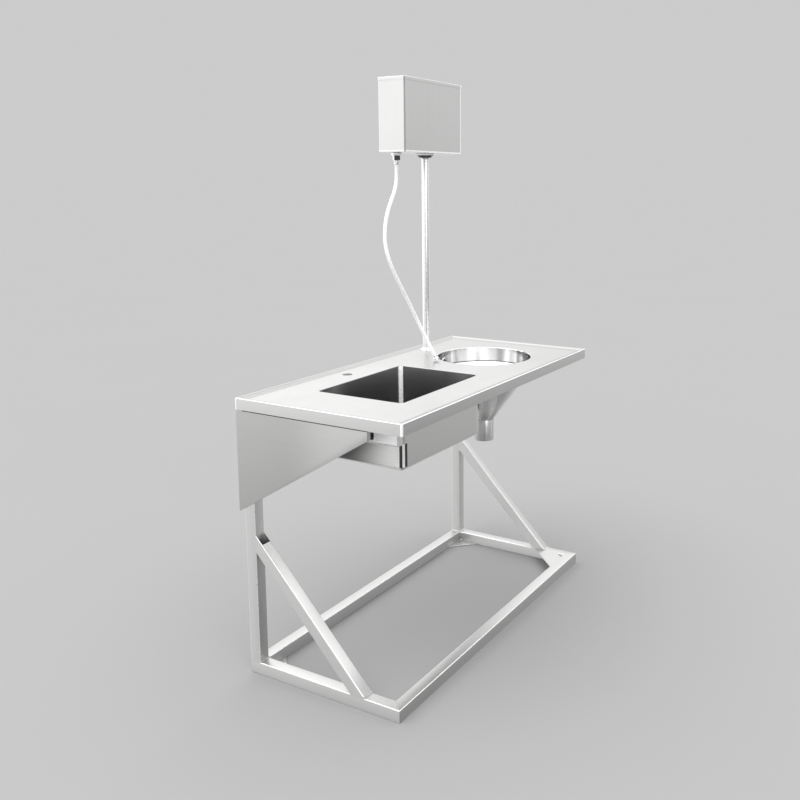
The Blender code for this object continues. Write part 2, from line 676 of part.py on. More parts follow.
def build_wall_plate(x):
    """Plate on the back of the cistern that takes two wall screws."""
    rear = CISTERN_HIGH.y - LID_SHEET
    half_x, low, high = WALL_PLATE.x / 2, WALL_PLATE_Z - WALL_PLATE.z / 2, WALL_PLATE_Z + WALL_PLATE.z / 2
    bm = bmesh.new()
    add_box(bm, (x - half_x, rear, low), (x + half_x, rear + WALL_PLATE.y, high))
    plate = new_object("cistern_wall_plate", bm, "brushed")
    for index, side in enumerate((-1, 1)):
        place = (x + side * WALL_SCREW_SPACING / 2, rear - 0.005, WALL_PLATE_Z)
        cut_cylinder(plate, f"screw_{index}", WALL_SCREW_R, place, 0.012, axis="y", segments=20)


def build_button():
    x = ROCKER_X - ROCKER_ARM
    top = CISTERN_HIGH.z
    turned("button_bezel", [(0.0190, top + 0.0016), (0.0235, top + 0.0016), (0.0245, top + GAP),
                            (0.0215, top + GAP), (0.0215, top - 0.012), (0.0190, top - 0.012)],
           (x, PIPE_Y, 0), "chrome")
    rod_end = ROCKER_Z + 0.002 + 0.0012
    turned("flush_button", [(0, top + 0.0030), (BUTTON_R - 0.002, top + 0.0030),
                            (BUTTON_R, top + 0.0015), (BUTTON_R, top - 0.009),
                            (0.003, top - 0.009), (0.003, rod_end + 0.001), (0.002, rod_end),
                            (0, rod_end)], (x, PIPE_Y, 0), "chrome")


def build_rocker():
    """Lever that turns the button's push into the valve's lift, on a fork of two tall cheeks."""
    half = 0.002
    low, high = ROCKER_Z - half, ROCKER_Z + half
    fork_in, fork_out = 0.0093, 0.0140
    end = PIPE_X + 0.009
    start = ROCKER_X - ROCKER_ARM - 0.006
    outline = [(start, -0.005), (ROCKER_X + 0.006, -0.005), (ROCKER_X + 0.016, -fork_out),
               (end, -fork_out), (end, -fork_in), (ROCKER_X + 0.024, -fork_in),
               (ROCKER_X + 0.024, fork_in), (end, fork_in), (end, fork_out),
               (ROCKER_X + 0.016, fork_out), (ROCKER_X + 0.006, 0.005), (start, 0.005)]
    bm = bmesh.new()
    add_prism(bm, [(x, PIPE_Y + y) for x, y in outline], "z", low, high)
    lever = new_object("rocker_lever", bm, "plastic")
    bm = bmesh.new()
    hub = [(0, -0.0145), (0.0045, -0.0145), (0.0045, 0.0145), (0, 0.0145)]
    add_turned(bm, hub, (ROCKER_X, PIPE_Y, ROCKER_Z), "y", 16)
    boolean(lever, helper_object("rocker_hub", bm), "UNION")
    cut_cylinder(lever, "pin", PIN_HOLE_R, (ROCKER_X, PIPE_Y - 0.03, ROCKER_Z), 0.06, "y", 12)
    turned("rocker_pin", [(0, -0.0195), (0.002, -0.0195), (0.002, 0.0195), (0, 0.0195)],
           (ROCKER_X, PIPE_Y, ROCKER_Z), "brass", axis="y", segments=12)

    bm = bmesh.new()
    inner, outer = 0.0155, 0.0180
    foot = VALVE_FLOOR + 0.003
    left, right = ROCKER_X - 0.008, ROCKER_X + 0.007
    outline = [(-outer, VALVE_FLOOR), (outer, VALVE_FLOOR), (outer, ROCKER_Z + 0.006),
               (inner, ROCKER_Z + 0.006), (inner, foot), (-inner, foot),
               (-inner, ROCKER_Z + 0.006), (-outer, ROCKER_Z + 0.006)]
    add_prism(bm, [(PIPE_Y + y, z) for y, z in outline], "x", left, right)
    bracket = new_object("rocker_bracket", bm, "plastic")
    cut_cylinder(bracket, "pin", PIN_HOLE_R, (ROCKER_X, PIPE_Y - 0.03, ROCKER_Z), 0.06, "y", 12)


def build_flush_valve():
    """Fixed seat, and the lifting overflow stem with its rubber seal and collar."""
    seat_top = 0.0055
    base = (PIPE_X, PIPE_Y, VALVE_FLOOR)
    turned("flush_valve_seat", [(0.0150, seat_top), (0.0185, seat_top), (0.0195, 0.003),
                                (0.0265, 0.003), (0.0265, 0.0), (0.0190, 0.0), (0.0190, -0.0145),
                                (0.0150, -0.0145)], base, "plastic")
    seal_low = seat_top + GAP
    seal_high = seal_low + 0.004
    turned("flush_valve_seal", [(0.0083, seal_high), (0.0220, seal_high), (0.0220, seal_low),
                                (0.0083, seal_low)], base, "rubber")
    collar = ROCKER_Z + 0.002 + 0.0008 - VALVE_FLOOR
    flange = seal_high + GAP
    turned("flush_valve_stem", [(0.0062, collar + 0.006), (0.0080, collar + 0.006),
                                (0.0080, collar + 0.003), (0.0120, collar + 0.003),
                                (0.0120, collar), (0.0080, collar), (0.0080, flange + 0.003),
                                (0.0140, flange + 0.003), (0.0140, flange), (0.0080, flange),
                                (0.0080, 0.001), (0.0062, 0.001)], base, "plastic", segments=24)


def build_float_valve():
    """Bottom-entry float valve: riser and head, arm, float, pin and the piston that shuts the water."""
    body = turned("fill_valve_body", [
        (0.0035, FILL_HEAD_Z + 0.008), (0.0080, FILL_HEAD_Z + 0.008), (0.0080, VALVE_FLOOR + 0.003),
        (0.0140, VALVE_FLOOR + 0.003), (0.0140, VALVE_FLOOR), (0.0070, VALVE_FLOOR),
        (0.0070, 1.634), (0.0035, 1.634)], (FILL_X, FILL_Y, 0), "brass", segments=20)
    head = bmesh.new()
    add_box(head, (FILL_X - 0.012, FILL_Y - 0.012, FILL_HEAD_Z),
            (FILL_X + 0.012, FILL_Y + 0.012, FILL_HEAD_Z + 0.026))
    boolean(body, helper_object("fill_valve_head", head), "UNION")
    pivot = FLOAT_PIVOT
    for label, side in (("front", -1), ("rear", 1)):
        ear = bmesh.new()
        low_y, high_y = sorted((FILL_Y + side * 0.0065, FILL_Y + side * 0.0090))
        add_box(ear, (FILL_X + 0.008, low_y, pivot.z - 0.006), (pivot.x + 0.005, high_y, pivot.z + 0.005))
        boolean(body, helper_object(f"fill_valve_ear_{label}", ear), "UNION")
    bore_z = FILL_HEAD_Z + 0.016
    cut_cylinder(body, "bore", 0.0052, (FILL_X - 0.005, FILL_Y, bore_z), 0.03, "x", 16)
    cut_cylinder(body, "pin", FLOAT_PIN_HOLE_R, (pivot.x, FILL_Y - 0.03, pivot.z), 0.06, "y", 12)
    turned("inlet_piston", [(0, 0), (0.0049, 0), (0.0049, 0.020), (0, 0.020)],
           (FILL_X + 0.002, FILL_Y, bore_z), "brass", axis="x", segments=16)
    turned("float_pin", [(0, -0.0100), (0.0019, -0.0100), (0.0019, 0.0100), (0, 0.0100)],
           pivot, "brass", axis="y", segments=12)

    out = Vector((math.cos(FLOAT_DROP), 0, -math.sin(FLOAT_DROP)))
    bm = bmesh.new()
    add_turned(bm, [(0, -0.0062), (0.0050, -0.0062), (0.0050, 0.0062), (0, 0.0062)], pivot, "y", 16)
    arm = new_object("float_arm", bm, "brass", smooth=True)
    rod = bmesh.new()
    across = Vector((0, 1, 0))
    up = across.cross(out)
    rod_ends = [add_loop(rod, [pivot + out * reach + across * x + up * y for x, y in circle(0.0025, 10)])
                for reach in (0.002, FLOAT_REACH - FLOAT_R - GAP)]
    bridge(rod, rod_ends[0], rod_ends[1])
    rod.faces.new(rod_ends[0])
    rod.faces.new(rod_ends[1])
    boolean(arm, helper_object("float_arm_rod", rod), "UNION")
    tail_dir = Vector((math.sin(TAIL_LEAN), 0, math.cos(TAIL_LEAN)))
    tail_side = Vector((math.cos(TAIL_LEAN), 0, -math.sin(TAIL_LEAN)))
    outline = [pivot + tail_dir * a + tail_side * b
               for a, b in ((0, -0.002), (0.018, -0.002), (0.018, 0.002), (0, 0.002))]
    tail = bmesh.new()
    add_prism(tail, [(point.x, point.z) for point in outline], "y", FILL_Y - 0.003, FILL_Y + 0.003)
    boolean(arm, helper_object("float_arm_tail", tail), "UNION")
    cut_cylinder(arm, "pin", FLOAT_PIN_HOLE_R, (pivot.x, FILL_Y - 0.03, pivot.z), 0.06, "y", 12)
    centre = pivot + out * FLOAT_REACH
    rings = 12
    ball = [(FLOAT_R * math.sin(math.pi * i / rings), FLOAT_R * math.cos(math.pi * i / rings))
            for i in range(1, rings)]
    turned("float", [(0, FLOAT_R)] + ball + [(0, -FLOAT_R)], centre, "plastic", segments=24)


# ---------------------------------------------------------------- supply hose
def build_hose_fittings():
    top = CISTERN_LOW.z - GAP
    bm = bmesh.new()
    add_prism(bm, hex_outline(0.033, (FILL_X, FILL_Y)), "z", top - 0.011, top)
    nut = new_object("inlet_nut", bm, "brass")
    cut_cylinder(nut, "bore", 0.0073, (FILL_X, FILL_Y, top - 0.02), 0.03, segments=20)
    nut_top = top - 0.011 - GAP
    hose_top = HOSE_ROUTE[0][2]
    bm = bmesh.new()
    add_prism(bm, hex_outline(0.024, (FILL_X, FILL_Y)), "z", 1.634, nut_top)
    upper = new_object("hose_nut", bm, "chrome")
    bm = bmesh.new()
    add_turned(bm, [(0, hose_top + GAP), (0.0095, hose_top + GAP), (0.0095, 1.6345), (0, 1.6345)],
               (FILL_X, FILL_Y, 0), "z", 24)
    boolean(upper, helper_object("hose_nut_skirt", bm), "UNION")
    cut_cylinder(upper, "bore", 0.0073, (FILL_X, FILL_Y, 1.6335), 0.05, segments=20)
    cut_cylinder(upper, "way", 0.0045, (FILL_X, FILL_Y, hose_top - 0.01), 0.05, segments=16)

    last = Vector(HOSE_ROUTE[-1])
    down = (last - Vector(HOSE_ROUTE[-2])).normalized()
    radius = 0.0115
    base = last + down * GAP
    lean = math.sqrt(1 - down.z ** 2)
    length = (base.z - DECK_TOP - GAP - radius * lean) / -down.z
    turned("hose_end_connector", [
        (0.0045, 0), (0.0090, 0), (0.0090, length - 0.011), (radius, length - 0.010),
        (radius, length), (0.0045, length)], base, "chrome", axis=tuple(down), segments=24)


def smooth_route(route, samples):
    """Points of a Catmull-Rom curve through the route."""
    points = [Vector(point) for point in route]
    padded = [2 * points[0] - points[1]] + points + [2 * points[-1] - points[-2]]
    curve = []
    for a, b, c, d in zip(padded, padded[1:], padded[2:], padded[3:]):
        for i in range(samples):
            t = i / samples
            curve.append(0.5 * ((2 * b) + (c - a) * t + (2 * a - 5 * b + 4 * c - d) * t ** 2
                                + (3 * b - a - 3 * c + d) * t ** 3))
    curve.append(points[-1])
    return curve


def build_hose():
    points = smooth_route(HOSE_ROUTE, 2)
    data = bpy.data.curves.new("supply_hose", "CURVE")
    data.dimensions = "3D"
    data.bevel_depth = HOSE_R
    data.bevel_resolution = 2
    data.use_fill_caps = True
    spline = data.splines.new("POLY")
    spline.points.add(len(points) - 1)
    for slot, point in zip(spline.points, points):
        slot.co = (*point, 1.0)
    hose = bpy.data.objects.new("supply_hose", data)
    bpy.context.scene.collection.objects.link(hose)
    data.materials.append(material("supply_hose", *FINISHES["brushed"]))


def main():
    clear_scene()
    build_floor_frame()
    build_uprights()
    build_braces()
    build_top_frame()
    build_corner_plates()
    build_worktop()
    build_bowl()
    build_bowl_brackets()
    build_side_panels()
    build_panel_screws()
    build_waste()
    build_hopper()
    build_flush_line()
    build_cistern()
    build_button()
    build_rocker()
    build_flush_valve()
    build_float_valve()
    build_hose_fittings()
    build_hose()


main()
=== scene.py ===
"""Looks of the stainless wash bench with a bowl, a slop hopper and a high-level cistern.

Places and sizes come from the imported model's boxes. The sizes that a box can't give are named below:
sheet gauges, bends, welds, holes, the bracket windows and the hose's route.
Metres, +X along the bench, -Y towards the user, +Z up.
"""

import json
import math

import bmesh
import bpy
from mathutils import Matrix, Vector


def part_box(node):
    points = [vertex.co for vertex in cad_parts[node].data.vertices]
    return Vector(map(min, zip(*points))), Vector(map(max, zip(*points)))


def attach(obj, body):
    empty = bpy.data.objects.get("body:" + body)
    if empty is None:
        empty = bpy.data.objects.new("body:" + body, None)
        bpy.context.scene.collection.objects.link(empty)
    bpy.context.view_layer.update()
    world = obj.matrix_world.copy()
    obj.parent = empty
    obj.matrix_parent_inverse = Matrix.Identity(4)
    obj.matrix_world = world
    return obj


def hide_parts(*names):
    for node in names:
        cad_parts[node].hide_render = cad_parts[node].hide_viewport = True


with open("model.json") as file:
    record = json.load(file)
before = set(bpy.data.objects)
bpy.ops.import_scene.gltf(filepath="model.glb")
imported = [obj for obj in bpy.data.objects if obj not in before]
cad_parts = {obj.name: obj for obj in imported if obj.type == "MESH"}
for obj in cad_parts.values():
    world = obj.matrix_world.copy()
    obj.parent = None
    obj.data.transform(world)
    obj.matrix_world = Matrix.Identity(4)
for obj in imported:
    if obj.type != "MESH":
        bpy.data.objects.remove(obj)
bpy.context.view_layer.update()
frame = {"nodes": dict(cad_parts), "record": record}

# ---------------------------------------------------------------- named sizes (metres)
GAP = 0.0003
FLUSH = 0.00005

SHEET, FOLDED_SHEET, BOWL_WALL, TUBE_WALL = 0.0015, 0.002, 0.0025, 0.002
TUBE_CORNER = 0.0032
TUBE_FLAT = TUBE_CORNER * 0.6
BRACE_OPENING = 0.036
WELD, SEAM = 0.0045, 0.0040
PLATE_SNIPE, PLATE_SNIPE_FLUSH = 0.016, 0.027
PANEL_FRONT, FRONT_FLANGE = 0.027, 0.016

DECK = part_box("pipe_rosette")[0].z - GAP
TOP_CORNER, RIM_EDGE = 0.006, 0.0022
# RIM_LINE sets the narrow band along the rim flat's inner edge that takes painted shade at the rear and
# the right.
RIM_FLAT, RIM_TOE, RIM_STEP, RIM_SHARE, RIM_LINE = 0.008, 0.030, 0.007, 0.62, 0.0028
TAP_X, TAP_Y, TAP_R = -0.182, 0.235, 0.0175

# CORNER_STRIP is the width of the bands beside the bowl's corners; at the front left outer corner they
# carry painted reflections.
BOWL_ROLL, BOWL_CORNER, BOWL_FILLET, CORNER_STRIP = 0.0025, 0.015, 0.014, 0.008
WASTE_HOLE_R = 0.027
WINDOW_FRONT, WINDOW_REAR, WINDOW_LOW, WINDOW_TOP = 0.0875, 0.015, 0.009, 0.012
WINDOW_CORNER = 0.008
HOPPER_ROLL, HOPPER_BEND, ELBOW_R, INLET_R = 0.0030, 0.006, 0.012, 0.0123

HEM = 0.0045
FLUSH_HOLE_R, SUPPLY_HOLE_R, BUTTON_HOLE_R = 0.0193, 0.0074, 0.0218

NUT_BORE = 0.0073
FERRULE_BORE, FERRULE_R, FERRULE_CREST, FERRULE_LENGTH = 0.0045, 0.0088, 0.0094, 0.0158
CONNECTOR_R = 0.0115
HOSE_SIDES, WIRE_RELIEF = 72, 0.0006
HOSE_R = 0.007
HOSE_ROUTE = [
    (0.1540, 0.2480, 1.6182), (0.1541, 0.2480, 1.5950), (0.1525, 0.2477, 1.5700),
    (0.1455, 0.2462, 1.5420), (0.1290, 0.2440, 1.5130), (0.1060, 0.2412, 1.4850),
    (0.0800, 0.2370, 1.4500), (0.0590, 0.2322, 1.4150), (0.0450, 0.2270, 1.3780),
    (0.0385, 0.2220, 1.3400), (0.0390, 0.2140, 1.3000), (0.0470, 0.2050, 1.2600),
    (0.0610, 0.1950, 1.2200), (0.0780, 0.1845, 1.1800), (0.0960, 0.1740, 1.1400),
    (0.1130, 0.1630, 1.1000), (0.1280, 0.1515, 1.0600), (0.1405, 0.1380, 1.0200),
    (0.1490, 0.1240, 0.9850), (0.1545, 0.1110, 0.9560), (0.1585, 0.1005, 0.9335),
    (0.1612, 0.0930, 0.9175),
]

X_AXIS, Y_AXIS, Z_AXIS = Vector((1, 0, 0)), Vector((0, 1, 0)), Vector((0, 0, 1))


# ---------------------------------------------------------------- camera
CAMERA_PLACE = (-2.6265, -1.6561, 1.5570)
CAMERA_HEADING = math.radians(60.21)
CAMERA_PITCH = math.radians(-8.77)


def build_camera():
    data = bpy.data.cameras.new("camera")
    data.sensor_width = 36
    data.lens = 40.43
    data.shift_x = -0.0875
    data.shift_y = -0.1
    camera = bpy.data.objects.new("camera", data)
    camera.location = CAMERA_PLACE
    level = math.cos(CAMERA_PITCH)
    forward = Vector((math.sin(CAMERA_HEADING) * level, math.cos(CAMERA_HEADING) * level,
                      math.sin(CAMERA_PITCH)))
    camera.rotation_euler = forward.to_track_quat("-Z", "Y").to_euler()
    bpy.context.scene.collection.objects.link(camera)
    bpy.context.scene.camera = camera


# ---------------------------------------------------------------- materials
class Tree:
    """Short calls for building the node tree of a material or a world."""

    def __init__(self, owner):
        owner.use_nodes = True
        self.owner, self.tree = owner, owner.node_tree

    def add(self, kind, *sources, **settings):
        """New node; sources go to its first inputs, and settings to its inputs or properties."""
        node = self.tree.nodes.new("ShaderNode" + kind)
        for key, value in settings.items():
            label = key.replace("_", " ").title()
            if label in node.inputs:
                node.inputs[label].default_value = value
            else:
                setattr(node, key, value)
        for socket, source in zip(node.inputs, sources):
            self.feed(socket, source)
        return node

    def feed(self, socket, source):
        if isinstance(source, bpy.types.NodeSocket):
            self.tree.links.new(source, socket)
        else:
            socket.default_value = source

    def value(self, kind, *sources, **settings):
        return self.add(kind, *sources, **settings).outputs[0]

    def math(self, operation, *sources):
        return self.value("Math", *sources, operation=operation)

    def span(self, value, low, high, to_low, to_high, smooth=False):
        return self.value("MapRange", value, from_min=low, from_max=high, to_min=to_low, to_max=to_high,
                          interpolation_type="SMOOTHSTEP" if smooth else "LINEAR")


class Finish(Tree):
    """A material's tree, with noises in the object's own coordinates."""

    def __init__(self, material, metallic=None):
        super().__init__(material)
        self.shader = self.tree.nodes["Principled BSDF"].inputs
        if metallic is not None:
            self.feed(self.shader["Metallic"], metallic)

    def coords(self, source="Object"):
        return self.add("TexCoord").outputs[source]

    def noise(self, scale, stretch=(1, 1, 1), detail=3.0, roughness=0.6, rotation=(0, 0, 0)):
        spot = self.value("Mapping", self.coords(), scale=stretch, rotation=rotation)
        return self.value("TexNoise", spot, scale=scale, detail=detail, roughness=roughness)

    def ramp(self, noise, low, high):
        """A noise lies mostly between 0.3 and 0.7."""
        return self.span(noise, 0.3, 0.7, low, high)

    def color(self, factor, first, second):
        node = self.add("Mix", factor, data_type="RGBA")
        for index, tone in ((6, first), (7, second)):
            node.inputs[index].default_value = (*tone, 1)
        self.feed(self.shader["Base Color"], node.outputs[2])

    def rough(self, *shares):
        total = shares[0]
        for share in shares[1:]:
            total = self.math("ADD", total, share)
        self.feed(self.shader["Roughness"], total)

    def bump(self, height, strength):
        node = self.add("Bump", strength=strength, distance=0.0002)
        self.feed(node.inputs["Height"], height)
        self.feed(self.shader["Normal"], node.outputs["Normal"])


GRAIN_SCALES = {"x": (0.03, 1, 1), "y": (1, 0.03, 1), "z": (1, 1, 0.03)}


def grey(level, warmth=0.0):
    return level, level, level - warmth


def shaded(color, factor):
    return tuple(min(c * factor, 1) for c in color)


def steel(grain, level, roughness, depth=1.0, lean=0.0, metallic=1.0, warmth=0.005):
    """Brushed stainless: fine lines along the grain, faint cloudy wear and finger marks."""
    n = Finish(bpy.data.materials.new("finish"), metallic)
    lines = n.noise(900, GRAIN_SCALES[grain], 2.0, 0.7, (lean, 0, 0))
    broad = n.noise(160, GRAIN_SCALES[grain], 2.0, 0.6, (lean, 0, 0))
    cloud = n.noise(3.2, detail=4.0, roughness=0.62)
    marks = n.noise(38, roughness=0.7)
    shade = n.math("ADD", n.math("MULTIPLY", broad, 0.5), n.math("MULTIPLY", cloud, 0.5))
    color = grey(level, warmth)
    n.color(shade, shaded(color, 1 - 0.10 * depth), shaded(color, 1 + 0.05 * depth))
    n.rough(n.ramp(lines, -0.035 * depth, 0.035 * depth),
            n.ramp(cloud, roughness - 0.03 * depth, roughness + 0.03 * depth),
            n.ramp(marks, -0.015 * depth, 0.015 * depth))
    n.bump(lines, 0.10 * depth)
    return n.owner


def polished(color, roughness):
    """Polished stainless or chrome: nearly mirror, with hairlines and dried water marks."""
    n = Finish(bpy.data.materials.new("finish"), 1.0)
    cloud = n.noise(14, detail=4.0)
    hair = n.noise(700, (1, 1, 0.05), 2.0, 0.7)
    n.color(cloud, shaded(color, 0.92), color)
    n.rough(n.ramp(cloud, roughness * 0.7, roughness * 1.4), n.ramp(hair, -0.01, 0.02))
    n.bump(hair, 0.03)
    return n.owner


def moulded(color, roughness):
    """Plastic or rubber with a fine moulded grain."""
    n = Finish(bpy.data.materials.new("finish"))
    grain = n.noise(420)
    n.color(n.noise(20), shaded(color, 0.86), color)
    n.rough(n.ramp(grain, roughness - 0.06, roughness + 0.06))
    n.bump(grain, 0.15)
    return n.owner


def painted_glint(level, metallic=0.25):
    """Painted highlight: near-white satin colour that stands in for the light that edges and bends
    catch.
    """
    n = Finish(bpy.data.materials.new("finish"), metallic)
    cloud = n.noise(60)
    n.color(cloud, grey(level * 0.93), grey(level))
    n.rough(n.ramp(cloud, 0.24, 0.36))
    return n.owner


def scale_color(n, factor):
    """Multiply a finish's colour by a factor that varies over the surface."""
    scaled = n.add("VectorMath", n.shader["Base Color"].links[0].from_socket, operation="SCALE")
    n.feed(scaled.inputs["Scale"], factor)
    n.feed(n.shader["Base Color"], scaled.outputs["Vector"])
    return n.owner


def painted_gradient(material, axis, low, high, to_low, to_high, source="Object"):
    """Painted light and shade: a tone that changes smoothly along an axis, or with the lean of the
    surface.
    """
    n = Finish(material)
    split = n.add("SeparateXYZ", n.coords(source))
    return scale_color(n, n.span(split.outputs[axis], low, high, to_low, to_high, True))


def painted_streaks(material, node, stops):
    """Painted reflections: streaks down a round piece, about its node's middle; stops pair degrees with
    a tone.
    """
    n = Finish(material)
    spot = n.value("VectorMath", n.coords(), box_of(node)[2], operation="SUBTRACT")
    split = n.add("SeparateXYZ", spot)
    turn = n.math("ARCTAN2", split.outputs["Y"], split.outputs["X"])
    ramp = n.add("ValToRGB", n.span(turn, -math.pi, math.pi, 0, 1))
    ramp.color_ramp.interpolation = "EASE"
    elements = ramp.color_ramp.elements
    while len(elements) < len(stops):
        elements.new(0.5)
    for element, (degrees, tone) in zip(elements, stops):
        element.position = (degrees + 180) / 360
        element.color = (tone, tone, tone, 1)
    return scale_color(n, ramp.outputs["Color"])


# Painted shade: faces that look up are painted darker than the sides.
TOP_PAINTED_SHADE = ("Z", 0.30, 0.90, 1.0, 0.81, "Normal")
# Painted reflections: light and dark streaks round the hopper, the pipe and the spigot, by degrees about
# each.
HOPPER_PAINTED_REFLECTIONS = (
    (-180, 0.62), (-150, 0.85), (-120, 0.60), (-95, 1.0), (-80, 0.66), (-50, 0.80), (-32, 0.40),
    (-27, 0.95), (-20, 0.50), (-16, 1.0), (-8, 0.70), (2, 1.0), (8, 0.80), (30, 0.78), (34, 1.0),
    (41, 1.0), (44, 0.72), (60, 0.64), (71, 0.74), (72.5, 1.0), (75.5, 1.0), (77, 0.70), (90, 0.74),
    (104, 0.80), (107, 1.0), (118, 1.0), (123, 0.60), (132, 0.35), (150, 0.32), (165, 0.60),
    (180, 0.62))
PIPE_PAINTED_REFLECTIONS = (
    (-180, 1.0), (-150, 1.0), (-144, 0.55), (-137, 1.0), (-125, 0.90), (-100, 0.88), (-88, 1.0),
    (-40, 1.0), (-32, 0.70), (0, 0.95), (60, 0.70), (110, 1.0), (180, 1.0))
SPIGOT_PAINTED_REFLECTIONS = (
    (-180, 0.40), (-145, 0.52), (-134, 1.0), (-92, 1.0), (-83, 0.45), (-72, 0.45), (-65, 0.95),
    (-30, 0.90), (0, 0.60), (60, 0.90), (110, 0.50), (150, 0.50), (176, 0.40))


def make_materials():
    """Finishes by key; the record's slots are keys too, for the CAD pieces that stay."""
    sheet, tube, lean = 0.56, 0.64, -BRACE_SLOPE
    # Painted shading on the left brace's upper face: darker at its foot and lighter near its head.
    brace_top_painted_shading = painted_gradient(steel("y", 0.66, 0.38, lean=lean, metallic=0.6),
                       "Z", 0.05, 0.13, 0.62, 1.0)
    mats = {
        # Painted shade: the deck is a darker copy of the apron's sheet and darkens towards +X, and the
        # rim's slope is darker still.
        "deck": painted_gradient(steel("x", 0.575, 0.34, 1.4), "X", -0.10, 0.45, 1.0, 0.88),
        "apron": steel("x", 0.655, 0.34),
        "slope": steel("x", 0.40, 0.30),
        # Tube tops are painted darker than their sides: painted shade.
        "tube_x": painted_gradient(steel("x", tube, 0.38), *TOP_PAINTED_SHADE),
        "tube_y": painted_gradient(steel("y", tube, 0.38), *TOP_PAINTED_SHADE),
        "tube_z": steel("z", tube, 0.38),
        # Painted highlight on the tubes' rounded corners.
        "tube_edge_painted_highlight": painted_glint(0.86, 0.5),
        "brace_left": steel("y", tube, 0.38, lean=lean),
        "brace_top_painted_shading": painted_gradient(brace_top_painted_shading, "Z", 0.22, 0.38, 1.0, 1.5),
        # The right brace's upper faces are painted darker too: painted shade.
        "brace_right": painted_gradient(steel("y", tube, 0.38, lean=lean), *TOP_PAINTED_SHADE),
        # Lighter copies of the tube steel for the uprights' front faces: painted light; the left one is
        # painted darker below the brace: painted shade.
        "post_left": painted_gradient(steel("z", 0.86, 0.36, warmth=0.01), "Z",
                            0.452, 0.470, 0.70, 1.0),
        "post_right": steel("z", 0.80, 0.36, warmth=0.01),
        # Painted shade: the panel darkens towards the rear.
        "panel": painted_gradient(steel("y", 0.59, 0.34), "Y", -0.10, 0.13, 1.0, 0.77),
        # A light and a dark copy of one sheet for the two brackets: painted light and painted shade.
        "bracket_left": steel("z", 0.96, 0.30),
        "bracket_right": steel("z", 0.52, 0.34),
        # Painted shade: the bowl's inside is a darker copy of its outside steel, and its left outside
        # face darkens towards the rear.
        "bowl": steel("x", 0.42, 0.20, 0.7, warmth=0.0),
        "bowl_left_painted_shade": painted_gradient(steel("y", 0.76, 0.30, 0.6, warmth=0.01), "Y",
                            -0.14, 0.05, 1.0, 0.20),
        "bowl_outside": steel("x", 0.78, 0.30, 0.6, warmth=0.01),
        # Painted highlight in the bowl's inner corners.
        "bowl_corner": painted_glint(1.0),
        # Near black: painted shade and painted dark reflections.
        "painted_dark": polished(grey(0.08), 0.20),
        # Near white: painted highlights and painted bright reflections.
        "painted_bright": painted_glint(0.98),
        # Dark grey: painted shade along the cistern's front fold and along the rim's inner edge at the
        # rear and the right.
        "painted_fold_shade": polished(grey(0.34), 0.30),
        # Painted reflections streak the hopper, the spigot and the pipe, and the hopper's outside
        # darkens towards its foot: painted shade.
        "hopper": painted_streaks(polished(grey(0.92), 0.14), "hopper_band",
                           HOPPER_PAINTED_REFLECTIONS),
        "hopper_outside": painted_gradient(steel("z", 0.95, 0.34, 0.6), "Z",
                                 0.655, 0.700, 0.72, 1.0),
        "spigot": painted_streaks(painted_glint(1.0, 0.92), "hopper_outlet", SPIGOT_PAINTED_REFLECTIONS),
        "pipe": painted_streaks(painted_glint(1.0, 0.88), "flush_pipe", PIPE_PAINTED_REFLECTIONS),
        # The welds are darker than the tubes: painted shade in the joints.
        "weld": steel("y", 0.50, 0.42, 1.6),
        "cistern": steel("z", 0.80, 0.36),
        "hose_braid": steel("z", 0.97, 0.28, 1.2, metallic=0.35),
        "sheet_brushed": steel("x", sheet, 0.36),
        "tube_brushed": steel("x", tube, 0.38),
        "stainless_polished": polished(grey(0.80), 0.10),
        "chrome_fittings": polished(grey(0.86, -0.01), 0.06),
        "brass_fittings": polished((0.75, 0.56, 0.26), 0.22),
        "rubber_black": moulded(grey(0.03), 0.7),
        "plastic_white": moulded(grey(0.80, 0.03), 0.4),
    }
    for key, material in mats.items():
        material.name = key
    return mats


# ---------------------------------------------------------------- mesh helpers
def circle(radius, segments, phase=0.0):
    return [(radius * math.cos(2 * math.pi * i / segments + phase),
             radius * math.sin(2 * math.pi * i / segments + phase)) for i in range(segments)]


def rounded_outline(points, radius, steps=4):
    """Round every corner of a closed outline by an arc; radius may be one number per corner."""
    count = len(points)
    radii = radius if isinstance(radius, (list, tuple)) else [radius] * count
    rounded = []
    for i in range(count):
        here = Vector(points[i])
        before = (Vector(points[i - 1]) - here)
        after = (Vector(points[(i + 1) % count]) - here)
        cosine = max(-1, min(1, before.normalized().dot(after.normalized())))
        half = math.acos(cosine) / 2
        if radii[i] <= 0 or half > math.radians(86):
            rounded.append(tuple(here))
            continue
        reach = min(radii[i] / math.tan(half), before.length * 0.49, after.length * 0.49)
        real = reach * math.tan(half)
        first, last = here + before.normalized() * reach, here + after.normalized() * reach
        inward = (before.normalized() + after.normalized()).normalized()
        middle = here + inward * (real / math.sin(half))
        a, b = first - middle, last - middle
        angle = math.acos(max(-1, min(1, a.normalized().dot(b.normalized()))))
        for step in range(steps + 1):
            t = step / steps
            mix = (a * math.sin((1 - t) * angle) + b * math.sin(t * angle)) / math.sin(angle)
            rounded.append(tuple(middle + mix))
    return rounded


def quarter_turn(steps):
    """Pairs (1 - cosine, 1 - sine) at even steps from 0 to 90 degrees."""
    angles = [math.pi / 2 * step / steps for step in range(steps + 1)]
    return [(1 - math.cos(angle), 1 - math.sin(angle)) for angle in angles]


def rolled_edge(inner, roll, top):
    """(radius, height) pairs of the quarter turn from a deck down into a wall at inner."""
    return [(inner + roll * b, top - roll * a) for a, b in quarter_turn(5)]


def shifted(outline, centre):
    return [(centre[0] + a, centre[1] + b) for a, b in outline]


